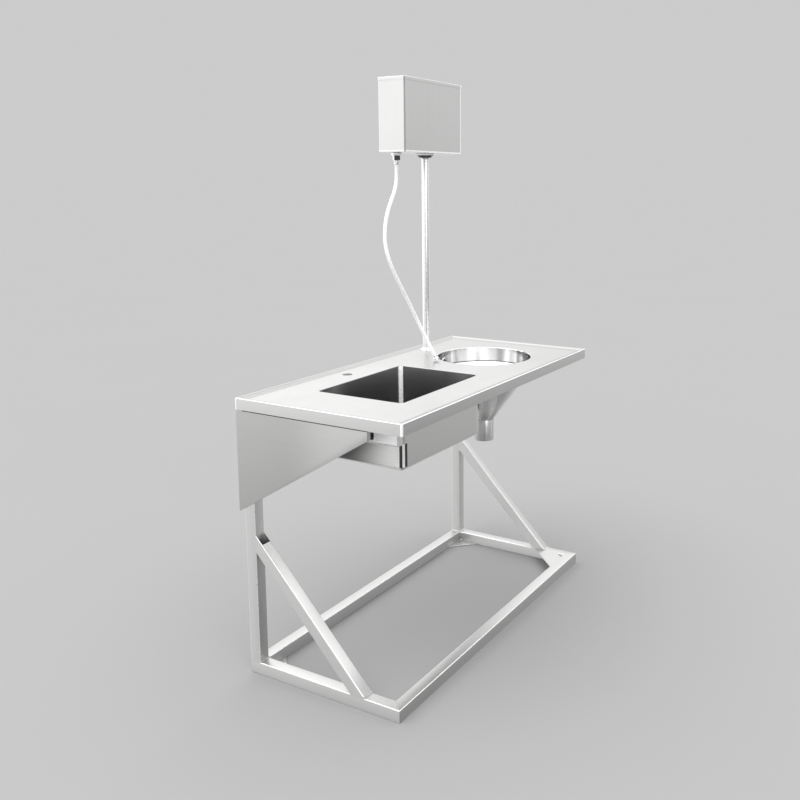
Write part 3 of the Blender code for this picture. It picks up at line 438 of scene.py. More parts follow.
def rectangle(half_x, half_y):
    return [(half_x, half_y), (-half_x, half_y), (-half_x, -half_y), (half_x, -half_y)]


def flanked_rectangle(x, y, radius, strip, steps):
    """Rounded rectangle with an extra point at a strip's width beyond each end of its corners."""
    reach = radius + strip
    corners = []
    for sx, sy in ((1, 1), (-1, 1), (-1, -1), (1, -1)):
        beside = [(sx * x, sy * (y - reach)), (sx * (x - reach), sy * y)]
        first, last = beside if sx * sy > 0 else reversed(beside)
        corners += [first, (sx * x, sy * y), last]
    return rounded_outline(corners, [0, radius, 0] * 4, steps)


def add_loop(bm, points):
    return [bm.verts.new(point) for point in points]


def add_level(bm, outline, centre, z):
    return add_loop(bm, [(x, y, z) for x, y in shifted(outline, centre)])


def bridge(bm, first, second):
    count = len(first)
    for i in range(count):
        j = (i + 1) % count
        bm.faces.new((first[i], first[j], second[j], second[i]))


def add_chain(bm, loops, close=False):
    for first, second in zip(loops, loops[1:]):
        bridge(bm, first, second)
    if close:
        bridge(bm, loops[-1], loops[0])


def add_capped(bm, loops):
    """Tube through the loops, closed at both ends."""
    add_chain(bm, loops)
    bm.faces.new(loops[0])
    bm.faces.new(loops[-1])


def add_turned(bm, profile, base, axis=Z_AXIS, segments=64):
    """Revolve a closed (radius, height) profile about an axis through base."""
    axis = Vector(axis).normalized()
    across = X_AXIS if abs(axis.dot(X_AXIS)) < 0.9 else Z_AXIS
    across = (across - axis * across.dot(axis)).normalized()
    other = axis.cross(across)
    base = Vector(base)
    rings = []
    for radius, height in profile:
        if radius < 1e-6:
            rings.append([bm.verts.new(base + axis * height)])
        else:
            rings.append(add_loop(bm, [base + axis * height + across * x + other * y
                                       for x, y in circle(radius, segments)]))
    for here, there in zip(rings, rings[1:] + rings[:1]):
        if len(here) == 1 and len(there) == 1:
            continue
        for i in range(segments):
            j = (i + 1) % segments
            corners = [here[i % len(here)], here[j % len(here)],
                       there[j % len(there)], there[i % len(there)]]
            bm.faces.new(list(dict.fromkeys(corners)))


def make_object(name, bm, mat, sharp=30):
    bmesh.ops.recalc_face_normals(bm, faces=bm.faces)
    mesh = bpy.data.meshes.new(name)
    bm.to_mesh(mesh)
    bm.free()
    made = bpy.data.objects.new(name, mesh)
    bpy.context.scene.collection.objects.link(made)
    mesh.materials.append(mat)
    mesh.shade_smooth()
    mesh.set_sharp_from_angle(angle=math.radians(sharp))
    return made


def add_modifier(obj, kind, **settings):
    modifier = obj.modifiers.new(kind.lower(), kind)
    for key, value in settings.items():
        setattr(modifier, key, value)
    return modifier


def apply_modifiers(obj, sharp=30):
    """Freeze the modifiers into the mesh, then drop the cutters that they used."""
    tools = [m.object for m in obj.modifiers if getattr(m, "object", None)]
    graph = bpy.context.evaluated_depsgraph_get()
    mesh = bpy.data.meshes.new_from_object(obj.evaluated_get(graph))
    obj.modifiers.clear()
    obj.data = mesh
    for tool in tools:
        bpy.data.objects.remove(tool)
    mesh.shade_smooth()
    mesh.set_sharp_from_angle(angle=math.radians(sharp))
    return obj


def paint_faces(obj, mats, pick):
    """Give each face the material that pick names; a face for which it names none is left alone."""
    first = len(obj.data.materials)
    keys = []
    for face in obj.data.polygons:
        key = pick(face)
        if key and key not in keys:
            keys.append(key)
            obj.data.materials.append(mats[key])
        if key:
            face.material_index = first + keys.index(key)


def cutter(obj, bm, operation="DIFFERENCE"):
    tool = make_object(obj.name + "_tool", bm, obj.data.materials[0])
    add_modifier(obj, "BOOLEAN", object=tool, operation=operation, solver="EXACT")


def cut_round(obj, radius, centre, height, axis=Z_AXIS, segments=64):
    bm = bmesh.new()
    half = height / 2
    add_turned(bm, [(0, -half), (radius, -half), (radius, half), (0, half)], centre, axis, segments)
    cutter(obj, bm)


def bevel(obj, width, segments=3, angle=30):
    add_modifier(obj, "BEVEL", width=width, segments=segments, limit_method="ANGLE",
                 angle_limit=math.radians(angle), harden_normals=False)


def place(obj, slot, *nodes, body="stand"):
    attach(obj, body)
    if nodes:
        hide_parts(*nodes)
    return obj


def box_of(node):
    low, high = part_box(node)
    return low, high, (low + high) / 2


def prism_mesh(outline, axis, low, high):
    """Extrude a closed outline along x, y or z; the outline holds the other two coordinates."""
    def spot(pair, along):
        a, b = pair[0], pair[1]
        return {"x": (along, a, b), "y": (a, along, b), "z": (a, b, along)}[axis]
    bm = bmesh.new()
    add_capped(bm, [add_loop(bm, [spot(pair, along) for pair in outline]) for along in (low, high)])
    return bm


def prism(name, outline, axis, low, high, mat):
    return make_object(name, prism_mesh(outline, axis, low, high), mat)


# ---------------------------------------------------------------- supply hose
def smooth_route(route, samples):
    """Points of a Catmull-Rom curve through the route."""
    points = [Vector(point) for point in route]
    padded = [2 * points[0] - points[1]] + points + [2 * points[-1] - points[-2]]
    curve = []
    for a, b, c, d in zip(padded, padded[1:], padded[2:], padded[3:]):
        for i in range(samples):
            t = i / samples
            curve.append(0.5 * ((2 * b) + (c - a) * t + (2 * a - 5 * b + 4 * c - d) * t ** 2
                                + (3 * b - a - 3 * c + d) * t ** 3))
    curve.append(points[-1])
    return curve


def braid_height(along, around):
    """Height from 0 to 1 of a two-over-two wire braid; along is metres, around is in turns."""
    strands, pitch = 10, 0.0042
    a = along / pitch + around * strands
    b = along / pitch - around * strands
    over = (math.floor(a) + math.floor(b)) % 2
    strand = abs(math.sin(math.pi * (a if over else b)))
    return strand ** 0.6


def build_hose(mat):
    """Braided hose as a tube whose surface rises and falls with the woven wires."""
    path = smooth_route(HOSE_ROUTE, 52)
    bm = bmesh.new()
    side = Y_AXIS
    travelled = 0.0
    rings = []
    for index, point in enumerate(path):
        ahead = path[min(index + 1, len(path) - 1)] - path[max(index - 1, 0)]
        ahead.normalize()
        side = (side - ahead * side.dot(ahead)).normalized()
        up = ahead.cross(side)
        if index:
            travelled += (point - path[index - 1]).length
        ring = []
        for i in range(HOSE_SIDES):
            turn = i / HOSE_SIDES
            radius = HOSE_R - WIRE_RELIEF + WIRE_RELIEF * braid_height(travelled, turn)
            angle = 2 * math.pi * turn
            ring.append(bm.verts.new(point + (side * math.cos(angle) + up * math.sin(angle)) * radius))
        rings.append(ring)
    add_capped(bm, rings)
    hose = make_object("braided_hose", bm, mat, sharp=60)
    place(hose, "hose_braid", "supply_hose")
    return hose, path


def hex_nut(name, node, mats, bottom):
    """Hexagon nut with its corners turned off, bored for the valve's tail."""
    low, high, middle = box_of(node)
    hexagon = circle((high.y - low.y) / math.sqrt(3), 6)
    nut = prism(name, shifted(hexagon, middle), "z", bottom, high.z, mats["chrome_fittings"])
    radius = (high.x - low.x) / 2
    slope = radius * 0.06
    bm = bmesh.new()
    add_turned(bm, [(0, bottom), (radius * 0.92, bottom), (radius * 1.01, bottom + slope),
                    (radius * 1.01, high.z - slope), (radius * 0.92, high.z), (0, high.z)],
               (middle.x, middle.y, 0), Z_AXIS, 64)
    cutter(nut, bm, "INTERSECT")
    cut_round(nut, NUT_BORE, (middle.x, middle.y, (bottom + high.z) / 2), 0.05, Z_AXIS, 48)
    apply_modifiers(nut)
    bevel(nut, 0.0004, 2)
    apply_modifiers(nut)
    return place(nut, "chrome_fittings", node)


def build_hose_fittings(mats):
    """Nuts and crimped ferrule at the cistern, and the connector that rests on the worktop."""
    hex_nut("inlet_back_nut", "inlet_nut", mats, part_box("inlet_nut")[0].z)
    low, _, middle = box_of("hose_nut")
    shoulder = HOSE_ROUTE[0][2] + FERRULE_LENGTH
    nut = hex_nut("hose_swivel_nut", "hose_nut", mats, shoulder)
    # Painted shade on the nut's flats that face the front.
    paint_faces(nut, mats, lambda face: "painted_dark" if abs(face.normal.z) < 0.3
                and face.normal.y < -0.3 else None)
    turned_part("hose_ferrule_upper", ferrule_profile(0.0002, shoulder - low.z + 0.0002), middle,
                mats, "chrome_fittings", "chrome_fittings", base=low.z, segments=48)

    last = Vector(HOSE_ROUTE[-1])
    down = (last - Vector(HOSE_ROUTE[-2])).normalized()
    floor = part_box("hose_end_connector")[0].z
    lean = math.sqrt(1 - down.z ** 2)
    length = (last.z - floor - CONNECTOR_R * lean) / -down.z - GAP
    outline = [(FERRULE_BORE, 0), (FERRULE_R, 0), (FERRULE_R, length * 0.30),
               (FERRULE_R - 0.0008, length * 0.34), (FERRULE_R - 0.0008, length * 0.44),
               (FERRULE_R + 0.0004, length * 0.48), (CONNECTOR_R, length * 0.54),
               (CONNECTOR_R, length), (FERRULE_BORE, length)]
    connector = turned_piece("hose_connector", rounded_outline(outline, 0.0006, 2),
                             last + down * GAP, down, mats["chrome_fittings"], 48)
    return place(connector, "chrome_fittings", "hose_end_connector")


def ferrule_profile(start, end):
    """A crimped sleeve with three rings."""
    points = [(FERRULE_BORE, start), (FERRULE_R, start)]
    rings = 3
    step = (end - start) / (rings * 2 + 1)
    for index in range(rings):
        z = start + step * (2 * index + 1)
        points += [(FERRULE_CREST, z), (FERRULE_R - 0.0002, z + step * 0.5), (FERRULE_CREST, z + step)]
    points += [(FERRULE_CREST, end), (FERRULE_BORE, end)]
    return rounded_outline(points, 0.0005, 2)


def turned_piece(name, profile, base, axis, mat, segments=64, sharp=35):
    bm = bmesh.new()
    add_turned(bm, profile, base, axis, segments)
    return make_object(name, bm, mat, sharp)


def turned_part(name, profile, centre, mats, key, slot, *nodes, body="stand", base=0.0, segments=64,
                sharp=35):
    """Piece turned about the vertical through centre, riding on a body."""
    piece = turned_piece(name, profile, (centre.x, centre.y, base), Z_AXIS, mats[key], segments, sharp)
    return place(piece, slot, *nodes, body=body)


# ---------------------------------------------------------------- welded stand
def brace_numbers():
    """Lowest and highest corner of the left brace, its slope and width, and the length of its ends."""
    low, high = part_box("brace_left")
    slope, width = math.atan2(high.z - low.z, high.y - low.y), high.x - low.x
    return low, high, slope, width, width / math.sin(slope), width / math.cos(slope)


BRACE_SLOPE = brace_numbers()[2]


def hollow_tube(name, start, end, width_axis, size, mats, key, start_normal=None, end_normal=None):
    """Square tube with rolled corners that carry a painted highlight; each end lies in the plane with
    its normal.
    """
    start, end, width_axis = Vector(start), Vector(end), Vector(width_axis)
    run = (end - start).normalized()
    height_axis = run.cross(width_axis).normalized()

    def ring(bm, point, normal, shrink):
        normal = Vector(normal) if normal else run
        outline = rounded_outline(rectangle(size[0] / 2 - shrink, size[1] / 2 - shrink),
                                  max(TUBE_CORNER - shrink, 0.0008), 4)
        loop = []
        for w, h in outline:
            offset = width_axis * w + height_axis * h
            loop.append(bm.verts.new(point + offset - run * (offset.dot(normal) / run.dot(normal))))
        return loop

    def paint_edge_highlight(face):
        lean = min(abs(face.normal.dot(width_axis)), abs(face.normal.dot(height_axis)))
        return "tube_edge_painted_highlight" if lean > 0.25 else None

    bm = bmesh.new()
    outer = [ring(bm, start, start_normal, 0), ring(bm, end, end_normal, 0)]
    inner = [ring(bm, start, start_normal, TUBE_WALL), ring(bm, end, end_normal, TUBE_WALL)]
    for first, second in (outer, inner, (outer[0], inner[0]), (outer[1], inner[1])):
        bridge(bm, first, second)
    made = make_object(name, bm, mats[key])
    paint_faces(made, mats, paint_edge_highlight)
    return made


def straight_tube(name, node, axis, mats, mitre=(None, None)):
    """Tube that fills its solid's box along x, y or z; a mitred end has its plane's normal."""
    low, high, middle = box_of(node)
    along = "xyz".index(axis)
    width, height = {"x": (1, 2), "y": (0, 2), "z": (0, 1)}[axis]
    size = (high[width] - low[width], high[height] - low[height])
    inset = size[0] / 2 if mitre[0] else 0
    start, end = middle.copy(), middle.copy()
    start[along], end[along] = low[along] + inset, high[along] - inset
    tube = hollow_tube(name, start, end, Y_AXIS if axis == "x" else X_AXIS, size, mats,
                       f"tube_{axis}", *mitre)
    return place(tube, "tube_brushed", node)


def fillet(name, start, end, out, up, leg, mat):
    """Concave weld between two faces that meet along start to end; out and up lie in the faces."""
    start, end, out, up = Vector(start), Vector(end), Vector(out), Vector(up)
    sink, skin = 0.0004, 0.0002
    section = [(-sink, -sink), (leg, -sink), (leg, skin)]
    section += [(leg * b + skin, leg * a + skin) for a, b in quarter_turn(5)[1:-1]]
    section += [(skin, leg), (-sink, leg)]
    bm = bmesh.new()
    add_capped(bm, [add_loop(bm, [point + out * a + up * b for a, b in section])
                    for point in (start, end)])
    return place(make_object(name, bm, mat, sharp=50), "tube_brushed")


def build_stand(mats):
    for label, sign in (("left", -1), ("right", 1)):
        straight_tube(f"rail_{label}", f"floor_rail_{label}", "y", mats, ((-sign, -1, 0), (-sign, 1, 0)))
        post = straight_tube(f"post_{label}", f"upright_{label}", "z", mats)
        # The uprights' front faces take their lighter copy: painted light, with painted shade below the
        # brace on the left.
        paint_faces(post, mats, lambda face: f"post_{label}" if face.normal.y < -0.9 else None)
        build_brace(mats, label, sign)
        straight_tube(f"arm_{label}", f"top_arm_{label}", "y", mats)
        build_post_welds(mats, label, sign)
    for label, sign in (("front", -1), ("rear", 1)):
        straight_tube(f"rail_{label}", f"floor_rail_{label}", "x", mats, ((-1, -sign, 0), (1, -sign, 0)))
        straight_tube(f"under_rail_{label}", f"top_rail_{label}", "x", mats)
    build_corner_plates(mats)
    build_ground_welds(mats)


def build_brace(mats, label, sign):
    low, high, slope, width, foot, head = brace_numbers()
    side_low, side_high, side = box_of(f"brace_{label}")
    brace = hollow_tube(f"diagonal_{label}", (side.x, high.y, high.z - head / 2),
                        (side.x, low.y + foot / 2, low.z), X_AXIS, (width, width), mats,
                        f"brace_{label}", start_normal=(0, 1, 0), end_normal=(0, 0, 1))
    if sign < 0:
        # Painted shading on the left brace's upper face.
        paint_faces(brace, mats, lambda face: "brace_top_painted_shading" if face.normal.y < -0.3
                    and face.normal.z > 0.3 and abs(face.normal.x) < 0.1 else None)
        open_brace_head(brace, side.x, width, Vector((0, high.y, high.z)), slope, mats["weld"])
    place(brace, "tube_brushed", f"brace_{label}")
    left, right = side_low.x + TUBE_FLAT, side_high.x - TUBE_FLAT
    run = Vector((0, math.cos(slope), math.sin(slope)))
    for spot, (y, z), along, up in (("foot_front", (low.y, low.z), -Y_AXIS, run),
                                    ("foot_rear", (low.y + foot, low.z), Y_AXIS, run),
                                    ("head_under", (high.y, high.z - head), -Z_AXIS, -run)):
        fillet(f"weld_brace_{label}_{spot}", (left, y, z), (right, y, z), along, up, WELD, mats["weld"])


def open_brace_head(brace, x, width, corner, slope, mat):
    """Cut the upper wall back from the upright."""
    along = Vector((0, -math.cos(slope), -math.sin(slope)))
    outward = Vector((0, -math.sin(slope), math.cos(slope)))
    ends = (corner - along * width / 4, corner + along * BRACE_OPENING)
    heights = (TUBE_WALL, -TUBE_WALL * 1.3)
    outline = [tuple((ends[a] + outward * heights[b]).yz) for a, b in ((0, 0), (1, 0), (1, 1), (0, 1))]
    reach = width / 2 - TUBE_WALL
    opening = prism("opening", outline, "x", x - reach, x + reach, mat)
    add_modifier(brace, "BOOLEAN", object=opening, operation="DIFFERENCE", solver="EXACT")
    apply_modifiers(brace)


def build_post_welds(mats, label, sign):
    """Fillets where the upright stands on the side rail and on the rear rail."""
    low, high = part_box(f"upright_{label}")
    left, right = low.x + TUBE_FLAT, high.x - TUBE_FLAT
    fillet(f"weld_post_{label}_front", (left, low.y, low.z), (right, low.y, low.z),
           -Y_AXIS, Z_AXIS, WELD * 1.2, mats["weld"])
    inner = low.x if sign > 0 else high.x
    fillet(f"weld_post_{label}_inner", (inner, low.y + TUBE_FLAT, low.z),
           (inner, high.y - TUBE_FLAT, low.z), -X_AXIS * sign, Z_AXIS, WELD * 1.2, mats["weld"])


def build_ground_welds(mats):
    """Flush strips where the faces of two tubes run into each other."""
    low, high, _, _, foot, head = brace_numbers()
    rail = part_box("floor_rail_left")[1].z
    post_low, post_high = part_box("upright_left")
    depth, half = 0.0034, 0.0042
    spots = (
        (high.y - half, post_low.y + half, high.z - head, high.z - 0.006),
        (low.y + 0.002, low.y + foot - 0.002, rail - half, rail + half),
        (post_low.y + 0.001, post_high.y - 0.001, rail - half, rail + half),
    )
    for label in ("left", "right"):
        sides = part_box(f"brace_{label}")
        for index, (y0, y1, z0, z1) in enumerate(spots):
            grain = mats["tube_z"] if index != 1 else mats["tube_y"]
            for face, x, inward in (("low", sides[0].x, 1), ("high", sides[1].x, -1)):
                ends = sorted((x - inward * FLUSH, x + inward * depth))
                strip = prism(f"ground_weld_{label}_{index}_{face}",
                              [(y0, z0), (y1, z0), (y1, z1), (y0, z1)], "x", ends[0], ends[1], grain)
                place(strip, "tube_brushed")


def build_corner_plates(mats):
    for label in ("rear_left", "front_left", "rear_right", "front_right"):
        low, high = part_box(f"corner_plate_{label}")
        side = 1 if "right" in label else -1
        rear = "rear" in label
        corner_x, far_x = (high.x, low.x) if side > 0 else (low.x, high.x)
        corner_y, far_y = (high.y, low.y) if rear else (low.y, high.y)
        flush = label == "front_right"
        snipe = PLATE_SNIPE_FLUSH if flush else PLATE_SNIPE
        near_y = corner_y - snipe if rear else corner_y + snipe
        outline = [(corner_x - side * snipe, corner_y), (corner_x, near_y), (corner_x, far_y),
                   (far_x, corner_y)]
        plate = prism(f"gusset_{label}", outline, "z", low.z, high.z, mats["tube_x"])
        bevel(plate, 0.0006, 2)
        apply_modifiers(plate, 5)
        place(plate, "tube_brushed", f"corner_plate_{label}")
        if flush:
            build_flush_seams(mats, label, outline, high.z)


def build_flush_seams(mats, label, outline, top):
    """Weld ground level between a corner plate and the two rails that it joins."""
    (near_x, edge_y), (edge_x, near_y), far_y, far_x = *outline[:2], outline[2][1], outline[3][0]
    out_x, out_y = math.copysign(SEAM, edge_x), math.copysign(SEAM, edge_y)
    for index, (x0, x1, y0, y1) in enumerate((
            (edge_x - out_x * 0.2, edge_x + out_x, near_y, far_y),
            (near_x, far_x, edge_y - out_y * 0.2, edge_y + out_y))):
        corners = [(x0, y0), (x1, y0), (x1, y1), (x0, y1)]
        seam = prism(f"flush_seam_{label}_{index}", corners, "z", top - 0.0030, top + FLUSH,
                     mats["tube_x"])
        place(seam, "tube_brushed")


# ---------------------------------------------------------------- worktop group
def build_worktop(mats):
    """Pressed top: hemmed apron, rounded rim, soft slope to the deck, and its cut-outs."""
    low, high, middle = box_of("worktop")
    half_x, half_y = (high.x - low.x) / 2, (high.y - low.y) / 2
    fall = high.z - DECK

    def top_profile():
        """(inset, height) from the apron's foot to the deck."""
        points = [(0, low.z), (0, high.z - RIM_EDGE)]
        points += [(RIM_EDGE * a, high.z - RIM_EDGE * b) for a, b in quarter_turn(4)[1:]]
        points += [(RIM_FLAT - RIM_LINE, high.z), (RIM_FLAT, high.z - 0.0001)]
        steps = 8
        for step in range(1, steps + 1):
            turn = math.pi * step / steps
            points.append((RIM_FLAT + RIM_STEP * step / steps,
                           high.z - fall * RIM_SHARE * (1 - math.cos(turn)) / 2))
        return points + [(RIM_TOE - 0.003, high.z - fall + 0.0002), (RIM_TOE, high.z - fall)]

    def loop(bm, inset, z):
        outline = rounded_outline(rectangle(half_x - inset, half_y - inset),
                                  max(TOP_CORNER - inset, 0.0015), 6)
        return add_level(bm, outline, middle, z)

    bm = bmesh.new()
    outside = [loop(bm, inset, z) for inset, z in top_profile()]
    inside = [loop(bm, inset + (SHEET if z < high.z - SHEET and inset < RIM_FLAT else 0),
                   min(z, high.z) - (SHEET if inset > 0 else 0)) for inset, z in top_profile()[6:]]
    foot = loop(bm, SHEET, low.z)
    wall = loop(bm, SHEET, high.z - SHEET)
    add_chain(bm, outside)
    add_chain(bm, [foot, wall] + inside)
    bridge(bm, outside[0], foot)
    bm.faces.new(outside[-1])
    bm.faces.new(inside[-1])
    top = make_object("worktop_pressing", bm, mats["deck"])

    bowl_low, bowl_high, bowl = box_of("sink_bowl")
    grow = BOWL_ROLL - BOWL_WALL
    opening = rounded_outline(rectangle((bowl_high.x - bowl_low.x) / 2 + grow,
                                        (bowl_high.y - bowl_low.y) / 2 + grow),
                              BOWL_CORNER + BOWL_ROLL, 10)
    cutter(top, prism_mesh(shifted(opening, bowl), "z", DECK - 0.01, DECK + 0.01))
    hopper_low, hopper_high, hopper = box_of("hopper_band")
    pipe_low, pipe_high, pipe = box_of("flush_pipe")
    for radius, x, y, segments in (
            ((hopper_high.x - hopper_low.x) / 2 - SHEET + HOPPER_ROLL, hopper.x, hopper.y, 128),
            (TAP_R, TAP_X, TAP_Y, 64),
            ((pipe_high.x - pipe_low.x) / 2 + 0.0006, pipe.x, pipe.y, 48)):
        cut_round(top, radius, (x, y, DECK), 0.02, Z_AXIS, segments)
    apply_modifiers(top)

    # Painted highlight on the rim's rounded edge, painted shade on the slope, and a darker painted line
    # along the flat's inner edge at the rear and the right.
    def finish(face):
        spot = face.center
        inset = min(spot.x - low.x, high.x - spot.x, spot.y - low.y, high.y - spot.y)
        turned = abs(face.normal.x) > 0.12 and abs(face.normal.y) > 0.12
        if inset < RIM_EDGE + 0.0002 and (turned or 0.3 < face.normal.z < 0.97):
            return "painted_bright"
        if abs(face.normal.z) < 0.3:
            return "apron"
        if RIM_FLAT - RIM_LINE < inset < RIM_TOE and spot.z > DECK + 0.0001:
            far_side = high.x - spot.x < RIM_TOE or high.y - spot.y < RIM_TOE
            return "painted_fold_shade" if far_side and inset < RIM_FLAT else "slope"
        return None

    paint_faces(top, mats, finish)
    place(top, "sheet_brushed", "worktop")


def build_bowl(mats):
    """Wash bowl whose edge rolls out of the deck, with pressed corners and a dished floor."""
    low, high, middle = box_of("sink_bowl")
    half_x, half_y = (high.x - low.x) / 2 - BOWL_WALL, (high.y - low.y) / 2 - BOWL_WALL
    floor = low.z + BOWL_WALL
    shade_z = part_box("bowl_bracket_left")[0].z

    def loop(bm, grow, z):
        outline = flanked_rectangle(half_x + grow, half_y + grow, max(BOWL_CORNER + grow, 0.003),
                                    CORNER_STRIP, 8)
        return add_level(bm, outline, middle, z)

    def quarter(radius, grow, z):
        """Arc from the wall into the floor."""
        return [(grow - radius * a, z + radius * b) for a, b in quarter_turn(7)]

    bm = bmesh.new()
    inside = rolled_edge(0, BOWL_ROLL, DECK) + quarter(BOWL_FILLET, 0, floor)
    outside = [(BOWL_ROLL, DECK - 0.0006), (BOWL_WALL, DECK - BOWL_ROLL - 0.001), (BOWL_WALL, shade_z)]
    outside += quarter(BOWL_FILLET + BOWL_WALL, BOWL_WALL, low.z)
    add_capped(bm, [loop(bm, grow, z) for grow, z in reversed(inside)]
               + [loop(bm, grow, z) for grow, z in outside])
    bowl = make_object("wash_bowl", bm, mats["bowl"], sharp=40)
    cut_round(bowl, WASTE_HOLE_R, (middle.x, middle.y, floor), 0.03, Z_AXIS, 64)
    apply_modifiers(bowl, 40)

    # Painted shade on both side walls above the brackets' foot, a painted highlight in the inner
    # corners, painted dark and bright reflections in bands at the front left outer corner, and painted
    # shade on the left face.
    def finish(face):
        away = face.center - middle
        x, y, z = (abs(value) for value in face.normal)
        out = face.normal.dot(Vector((away.x, away.y, 0))) > 0
        strip = (-away.x > half_x - BOWL_CORNER - CORNER_STRIP and
                 -away.y > half_y - BOWL_CORNER - CORNER_STRIP)
        if out and x > 0.9 and face.center.z > shade_z:
            return "painted_dark"
        if z < 0.3 and x > 0.08 and y > 0.08 and not out:
            return "bowl_corner"
        if z < 0.3 and strip and out and face.center.z < shade_z:
            share = y / (x + y)
            return "painted_dark" if 0.08 < share < 0.52 or share > 0.92 else "painted_bright"
        if out or face.normal.z < -0.2:
            return "bowl_left_painted_shade" if face.normal.x < -0.9 else "bowl_outside"
        return None

    paint_faces(bowl, mats, finish)
    place(bowl, "sheet_brushed", "sink_bowl")


def build_brackets(mats):
    """Folded channels at the bowl's ends, with bent corners and a long window."""
    for label, sign in (("left", -1), ("right", 1)):
        low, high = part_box(f"bowl_bracket_{label}")
        wall_x, web_x = (high.x, low.x) if sign < 0 else (low.x, high.x)
        inner = web_x - sign * FOLDED_SHEET
        front, rear = low.y, high.y
        outline = rounded_outline(
            [(wall_x, front), (web_x, front), (web_x, rear), (wall_x, rear),
             (wall_x, rear - FOLDED_SHEET), (inner, rear - FOLDED_SHEET),
             (inner, front + FOLDED_SHEET), (wall_x, front + FOLDED_SHEET)],
            [0, 0.003, 0.003, 0, 0, 0.001, 0.001, 0], 4)
        bracket = prism(f"bowl_bracket_{label}_sheet", outline, "z", low.z, high.z,
                        mats[f"bracket_{label}"])
        y0, y1 = front + WINDOW_FRONT, rear - WINDOW_REAR
        z0, z1 = low.z + WINDOW_LOW, high.z - WINDOW_TOP
        window = rounded_outline(rectangle((y1 - y0) / 2, (z1 - z0) / 2), WINDOW_CORNER, 6)
        cutter(bracket, prism_mesh(shifted(window, ((y0 + y1) / 2, (z0 + z1) / 2)), "x",
                                   web_x - 0.006, web_x + 0.006))
        apply_modifiers(bracket)
        place(bracket, "sheet_brushed", f"bowl_bracket_{label}")
        # The rolled edge under each bracket takes a painted highlight.
        bead = prism(f"bowl_bracket_{label}_rolled_edge",
                     shifted(circle(0.0018, 12), (web_x, low.z + 0.0016)), "y", front + 0.003,
                     rear - 0.003, mats["painted_bright"])
        place(bead, "sheet_brushed")


def build_panels(mats):
    """Gusset panels with bent flanges along the top and the front edge."""
    for label, sign in (("left", -1), ("right", 1)):
        low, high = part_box(f"side_panel_{label}")
        outer, tip = (low.x, high.x) if sign < 0 else (high.x, low.x)
        inner = outer - sign * FOLDED_SHEET
        front_bottom = high.z - PANEL_FRONT
        outline = [(high.y, low.z), (high.y, high.z), (low.y, high.z), (low.y, front_bottom)]
        panel = prism(f"gusset_panel_{label}", outline, "x", min(outer, inner), max(outer, inner),
                      mats["panel"])
        start = outer - sign * 0.0005
        top_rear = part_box(f"upright_{label}")[0].y - 0.002
        short_tip = outer - sign * FRONT_FLANGE
        for end, y0, y1, z0 in ((tip, low.y, top_rear, high.z - FOLDED_SHEET),
                                (short_tip, low.y, low.y + FOLDED_SHEET, front_bottom)):
            cutter(panel, prism_mesh([(start, y0), (end, y0), (end, y1), (start, y1)], "z", z0, high.z),
                   "UNION")
        apply_modifiers(panel)
        bevel(panel, 0.0009, 3, 40)
        apply_modifiers(panel)
        place(panel, "sheet_brushed", f"side_panel_{label}")


# ---------------------------------------------------------------- hopper and flush line
def pipe_profile(radius, wall, top, bottom, edge, steps):
    return rounded_outline([(radius - wall, top), (radius, top), (radius, bottom),
                            (radius - wall, bottom)], edge, steps)


def build_hopper(mats):
    """Slop hopper with a rolled edge, its spigot and the weld between them."""
    low, high, middle = box_of("hopper_band")
    cone_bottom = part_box("hopper_cone")[0].z
    outer = (high.x - low.x) / 2
    inner = outer - SHEET
    spigot_low, spigot_high, spigot = box_of("hopper_outlet")
    out_r = (spigot_high.x - spigot_low.x) / 2
    under_roll = DECK - HOPPER_ROLL * 1.3
    profile = rolled_edge(inner, HOPPER_ROLL, DECK)
    profile += rounded_outline([(inner, under_roll), (inner, low.z), (out_r - SHEET, cone_bottom)],
                               [0, HOPPER_BEND, 0], 5)
    profile += rounded_outline([(out_r, cone_bottom), (outer, low.z - 0.0007), (outer, under_roll)],
                               [0, HOPPER_BEND, 0], 5)
    profile += [(inner + HOPPER_ROLL, DECK - 0.0006)]
    hopper = turned_piece("slop_hopper", profile, (middle.x, middle.y, 0), Z_AXIS,
                          mats["hopper"], 128, 40)
    elbow_low, _, elbow = box_of("flush_elbow")
    cut_round(hopper, INLET_R, (elbow.x, middle.y + inner, elbow_low.z + ELBOW_R), 0.03, Y_AXIS, 48)
    apply_modifiers(hopper, 40)

    # Painted shade: the outside darkens towards its foot, and the inside bend where the band meets the
    # cone is a painted dark line.
    def finish(face):
        away = face.center - middle
        out = face.normal.dot(Vector((away.x, away.y, 0))) > 0
        if out and face.center.z < DECK - HOPPER_ROLL:
            return "hopper_outside"
        if not out and -HOPPER_BEND * 0.9 < face.center.z - low.z < HOPPER_BEND * 0.5:
            return "painted_dark"
        return None

    paint_faces(hopper, mats, finish)
    place(hopper, "stainless_polished", "hopper_band", "hopper_cone")

    ends = (spigot_high.z, spigot_low.z)
    turned_part("outlet_spigot", pipe_profile(out_r, SHEET, *ends, 0.0006, 3), spigot, mats, "spigot",
                "stainless_polished", "hopper_outlet", segments=96)
    bead = [(out_r + 0.0016 * math.cos(a), spigot_high.z + 0.0022 * math.sin(a))
            for a in (2 * math.pi * i / 12 for i in range(12))]
    turned_part("outlet_weld_bead", bead, spigot, mats, "weld", "stainless_polished", segments=96,
                sharp=70)


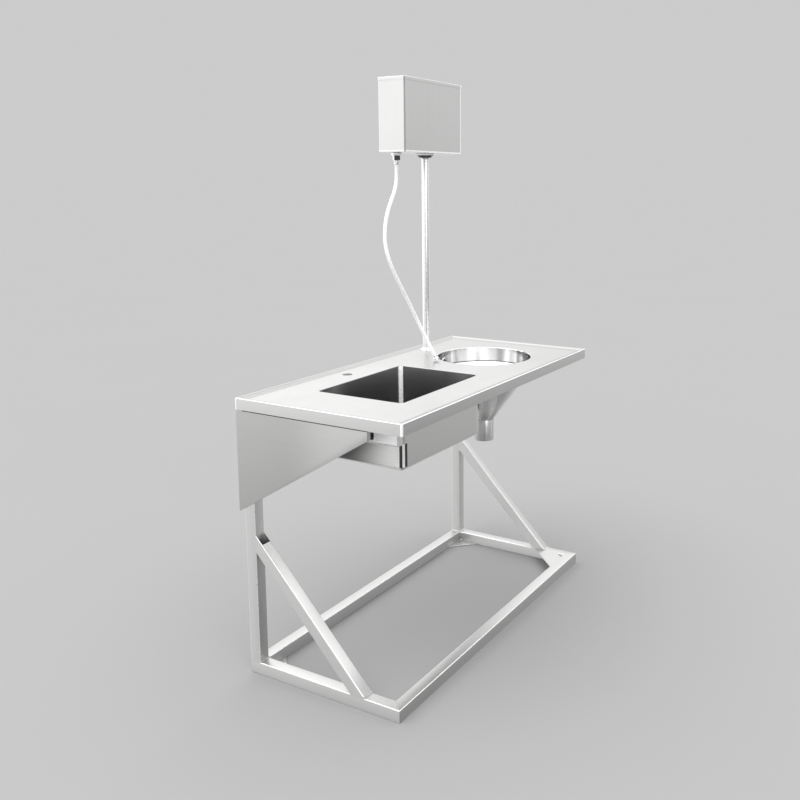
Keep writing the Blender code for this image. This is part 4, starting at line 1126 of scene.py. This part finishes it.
def build_flush_line(mats):
    """Pipe, the rosette where it meets the deck, and the collar under the cistern."""
    low, high, middle = box_of("flush_pipe")
    radius = (high.x - low.x) / 2
    turned_part("flush_down_pipe", pipe_profile(radius, 0.0012, high.z, low.z, 0.0004, 2), middle,
                mats, "pipe", "stainless_polished", "flush_pipe")

    low, high, middle = box_of("pipe_rosette")
    outer = (high.x - low.x) / 2
    bore = radius + GAP
    height = high.z - low.z
    collar, rim = bore + 0.002, 0.0012
    dome = [(bore, height), (collar, height)]
    steps = 8
    for step in range(1, steps):
        t = step / steps
        dome.append((collar + (outer - collar) * t, height * (1 - t) ** 1.6 + rim * t))
    dome += [(outer, rim), (outer, 0), (bore, 0)]
    turned_part("floor_rosette", dome, middle, mats, "chrome_fittings", "chrome_fittings",
                "pipe_rosette", base=low.z)

    low, high, middle = box_of("flush_nut")
    outer, top = (high.x - low.x) / 2, high.z
    profile = rounded_outline([
        (FLUSH_HOLE_R, top), (outer, top), (outer, top - 0.004), (outer - 0.003, top - 0.006),
        (0.0255, low.z + 0.003), (0.0235, low.z), (bore, low.z), (bore, low.z + 0.0024),
        (FLUSH_HOLE_R, low.z + 0.0024)], 0.0008, 3)
    nut = turned_part("flush_collar", profile, middle, mats, "chrome_fittings", "chrome_fittings",
                      "flush_nut")
    # Painted shade under the collar, and a painted highlight on the rest of it.
    paint_faces(nut, mats, lambda face: "painted_dark" if face.normal.z < -0.15
                and face.center.z < top - 0.008 else "painted_bright")


# ---------------------------------------------------------------- cistern
def open_box(name, low, high, sheet, corner, edge, mat, upside_down=False):
    """Folded sheet box, open at the top, or at the bottom when upside_down; rolled closed edge."""
    half_x, half_y = (high.x - low.x) / 2, (high.y - low.y) / 2
    middle = (low + high) / 2
    closed, opened = (high.z, low.z) if upside_down else (low.z, high.z)
    toward = 1 if closed > opened else -1

    def loop(bm, inset, z):
        outline = flanked_rectangle(half_x - inset, half_y - inset, max(corner - inset, 0.0006), HEM, 5)
        return add_level(bm, outline, middle, z)

    def chain(bm, inset, end, radius):
        loops = [loop(bm, inset, opened), loop(bm, inset, end - toward * (radius + HEM))]
        loops += [loop(bm, inset + radius * a, end - toward * radius * b) for a, b in quarter_turn(5)]
        add_chain(bm, loops)
        bm.faces.new(loops[-1])
        return loops[0]

    bm = bmesh.new()
    outer = chain(bm, 0, closed, edge)
    inner = chain(bm, sheet, closed - toward * sheet, max(edge - sheet, 0.0004))
    bridge(bm, outer, inner)
    return make_object(name, bm, mat, sharp=40)


def paint_fold_light_and_shade(box, mats, foot, right):
    """Painted highlights on the hems at the foot and the right corner and on the rounded edges, and
    painted shade on the bend of the corner facing the room.
    """
    def finish(face):
        x, y, z = face.normal
        spot = face.center
        hem = spot.z < foot + HEM * 1.4 or (y < 0 and spot.x > right - HEM * 1.6)
        if abs(z) < 0.3 and x < -0.05 and y < -0.05:
            return "painted_fold_shade"
        return "painted_bright" if 0.3 < abs(z) < 0.97 or (hem and abs(z) < 0.3) else None

    paint_faces(box, mats, finish)


def build_cistern(mats):
    low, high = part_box("cistern_body")
    body = open_box("cistern_tank", low, high, SHEET, 0.0034, 0.0026, mats["cistern"])
    for node, radius, segments in (("flush_pipe", FLUSH_HOLE_R, 48), ("inlet_nut", SUPPLY_HOLE_R, 32)):
        spot = box_of(node)[2]
        cut_round(body, radius, (spot.x, spot.y, low.z), 0.02, Z_AXIS, segments)
    apply_modifiers(body, 40)
    paint_fold_light_and_shade(body, mats, low.z, high.x)
    place(body, "sheet_brushed", "cistern_body")

    low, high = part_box("cistern_lid")
    lid = open_box("cistern_cover", low, high, 0.0012, 0.0040, 0.0012, mats["cistern"],
                   upside_down=True)
    button = box_of("flush_button")[2]
    cut_round(lid, BUTTON_HOLE_R, (button.x, button.y, high.z), 0.01, Z_AXIS, 64)
    apply_modifiers(lid, 40)
    paint_fold_light_and_shade(lid, mats, -HEM * 2, high.x)
    place(lid, "sheet_brushed", "cistern_lid", body="lid")
    lid_top = high.z

    low, high, middle = box_of("button_bezel")
    outer, neck, bore = (high.x - low.x) / 2, BUTTON_HOLE_R - GAP, 0.0190
    profile = rounded_outline([(bore, high.z), (outer - 0.001, high.z), (outer, lid_top + GAP),
                               (neck, lid_top + GAP), (neck, low.z), (bore, low.z)], 0.0005, 3)
    turned_part("button_ring", profile, middle, mats, "chrome_fittings", "chrome_fittings",
                "button_bezel", body="lid")

    low, high, middle = box_of("flush_button")
    radius = (high.x - low.x) / 2
    crown = [(radius * math.sin(a), high.z - 0.0016 * (1 - math.cos(a)))
             for a in (math.radians(3 + 12 * i) for i in range(7))]
    skirt, rod = high.z - 0.012, 0.003
    profile = [(0, high.z), *crown, (radius, high.z - 0.003), (radius, skirt), (rod, skirt),
               (rod, low.z + 0.001), (rod - 0.001, low.z), (0, low.z)]
    turned_part("push_button_cap", profile, middle, mats, "chrome_fittings", "chrome_fittings",
                "flush_button", body="push_button")


# ---------------------------------------------------------------- set
FLOOR_TONE = 0.27
BACKDROP = 0.602
SKY_LEVEL, SKY_RISE, SKY_REAR, SKY_TOP = 0.86, 0.60, 0.42, 1.10


def build_set():
    """Pale floor and backdrop, soft studio light."""
    build_floor()
    build_world()
    build_lights()
    bpy.context.scene.view_settings.view_transform = "Standard"


def build_floor():
    bpy.ops.mesh.primitive_plane_add(size=120)
    floor = bpy.context.object
    floor.name = "floor"
    n = Finish(bpy.data.materials.new("floor_pale"))
    n.color(n.noise(0.8), grey(FLOOR_TONE * 0.99), grey(FLOOR_TONE * 1.01))
    n.rough(1.0)
    n.feed(n.shader["Specular IOR Level"], 0.0)
    floor.data.materials.append(n.owner)
    floor.visible_glossy = False


def build_world():
    """Soft studio: bright behind the bench, dim in front of it, and a plain pale backdrop."""
    world = bpy.data.worlds.new("studio")
    bpy.context.scene.world = world
    n = Tree(world)
    white = (1, 1, 1, 1)
    split = n.add("SeparateXYZ", n.add("TexCoord").outputs["Generated"])
    strength = n.math("MULTIPLY_ADD", split.outputs["Z"], SKY_RISE, SKY_LEVEL)
    strength = n.math("MULTIPLY_ADD", split.outputs["Y"], SKY_REAR, strength)
    top = n.span(split.outputs["Z"], 0.30, 0.85, 0.0, SKY_TOP, True)
    light = n.value("Background", white, n.math("ADD", strength, top))
    backdrop = n.value("Background", white, BACKDROP)
    seen = n.add("LightPath").outputs["Is Camera Ray"]
    n.feed(n.tree.nodes["World Output"].inputs["Surface"], n.value("MixShader", seen, light, backdrop))


def build_lights():
    """A wide soft light from the upper left rear, and a low one from the front left."""
    for name, energy, spread, aim in (("soft_rear", 0.8, 50, (0.55, -0.25, -1.0)),
                                      ("soft_front", 0.5, 24, (0.49, 0.857, -0.20))):
        data = bpy.data.lights.new(name, "SUN")
        data.energy = energy
        data.angle = math.radians(spread)
        lamp = bpy.data.objects.new(name, data)
        lamp.rotation_euler = Vector(aim).to_track_quat("-Z", "Y").to_euler()
        lamp.visible_glossy = name != "soft_rear"
        bpy.context.scene.collection.objects.link(lamp)


def paint_cad_nodes(mats):
    """The CAD pieces that stay as they are get their slot's finish."""
    slots = {row["node"]: row["material_slot"] for row in frame["record"]["subparts"]}
    for name, node in frame["nodes"].items():
        node.data.materials.clear()
        node.data.materials.append(mats[slots[name]])


def main():
    build_camera()
    mats = make_materials()
    hose, path = build_hose(mats["hose_braid"])
    connector = build_hose_fittings(mats)
    paint_cad_nodes(mats)
    build_stand(mats)
    build_worktop(mats)
    build_bowl(mats)
    build_brackets(mats)
    build_panels(mats)
    build_hopper(mats)
    build_flush_line(mats)
    build_cistern(mats)
    build_set()


main()
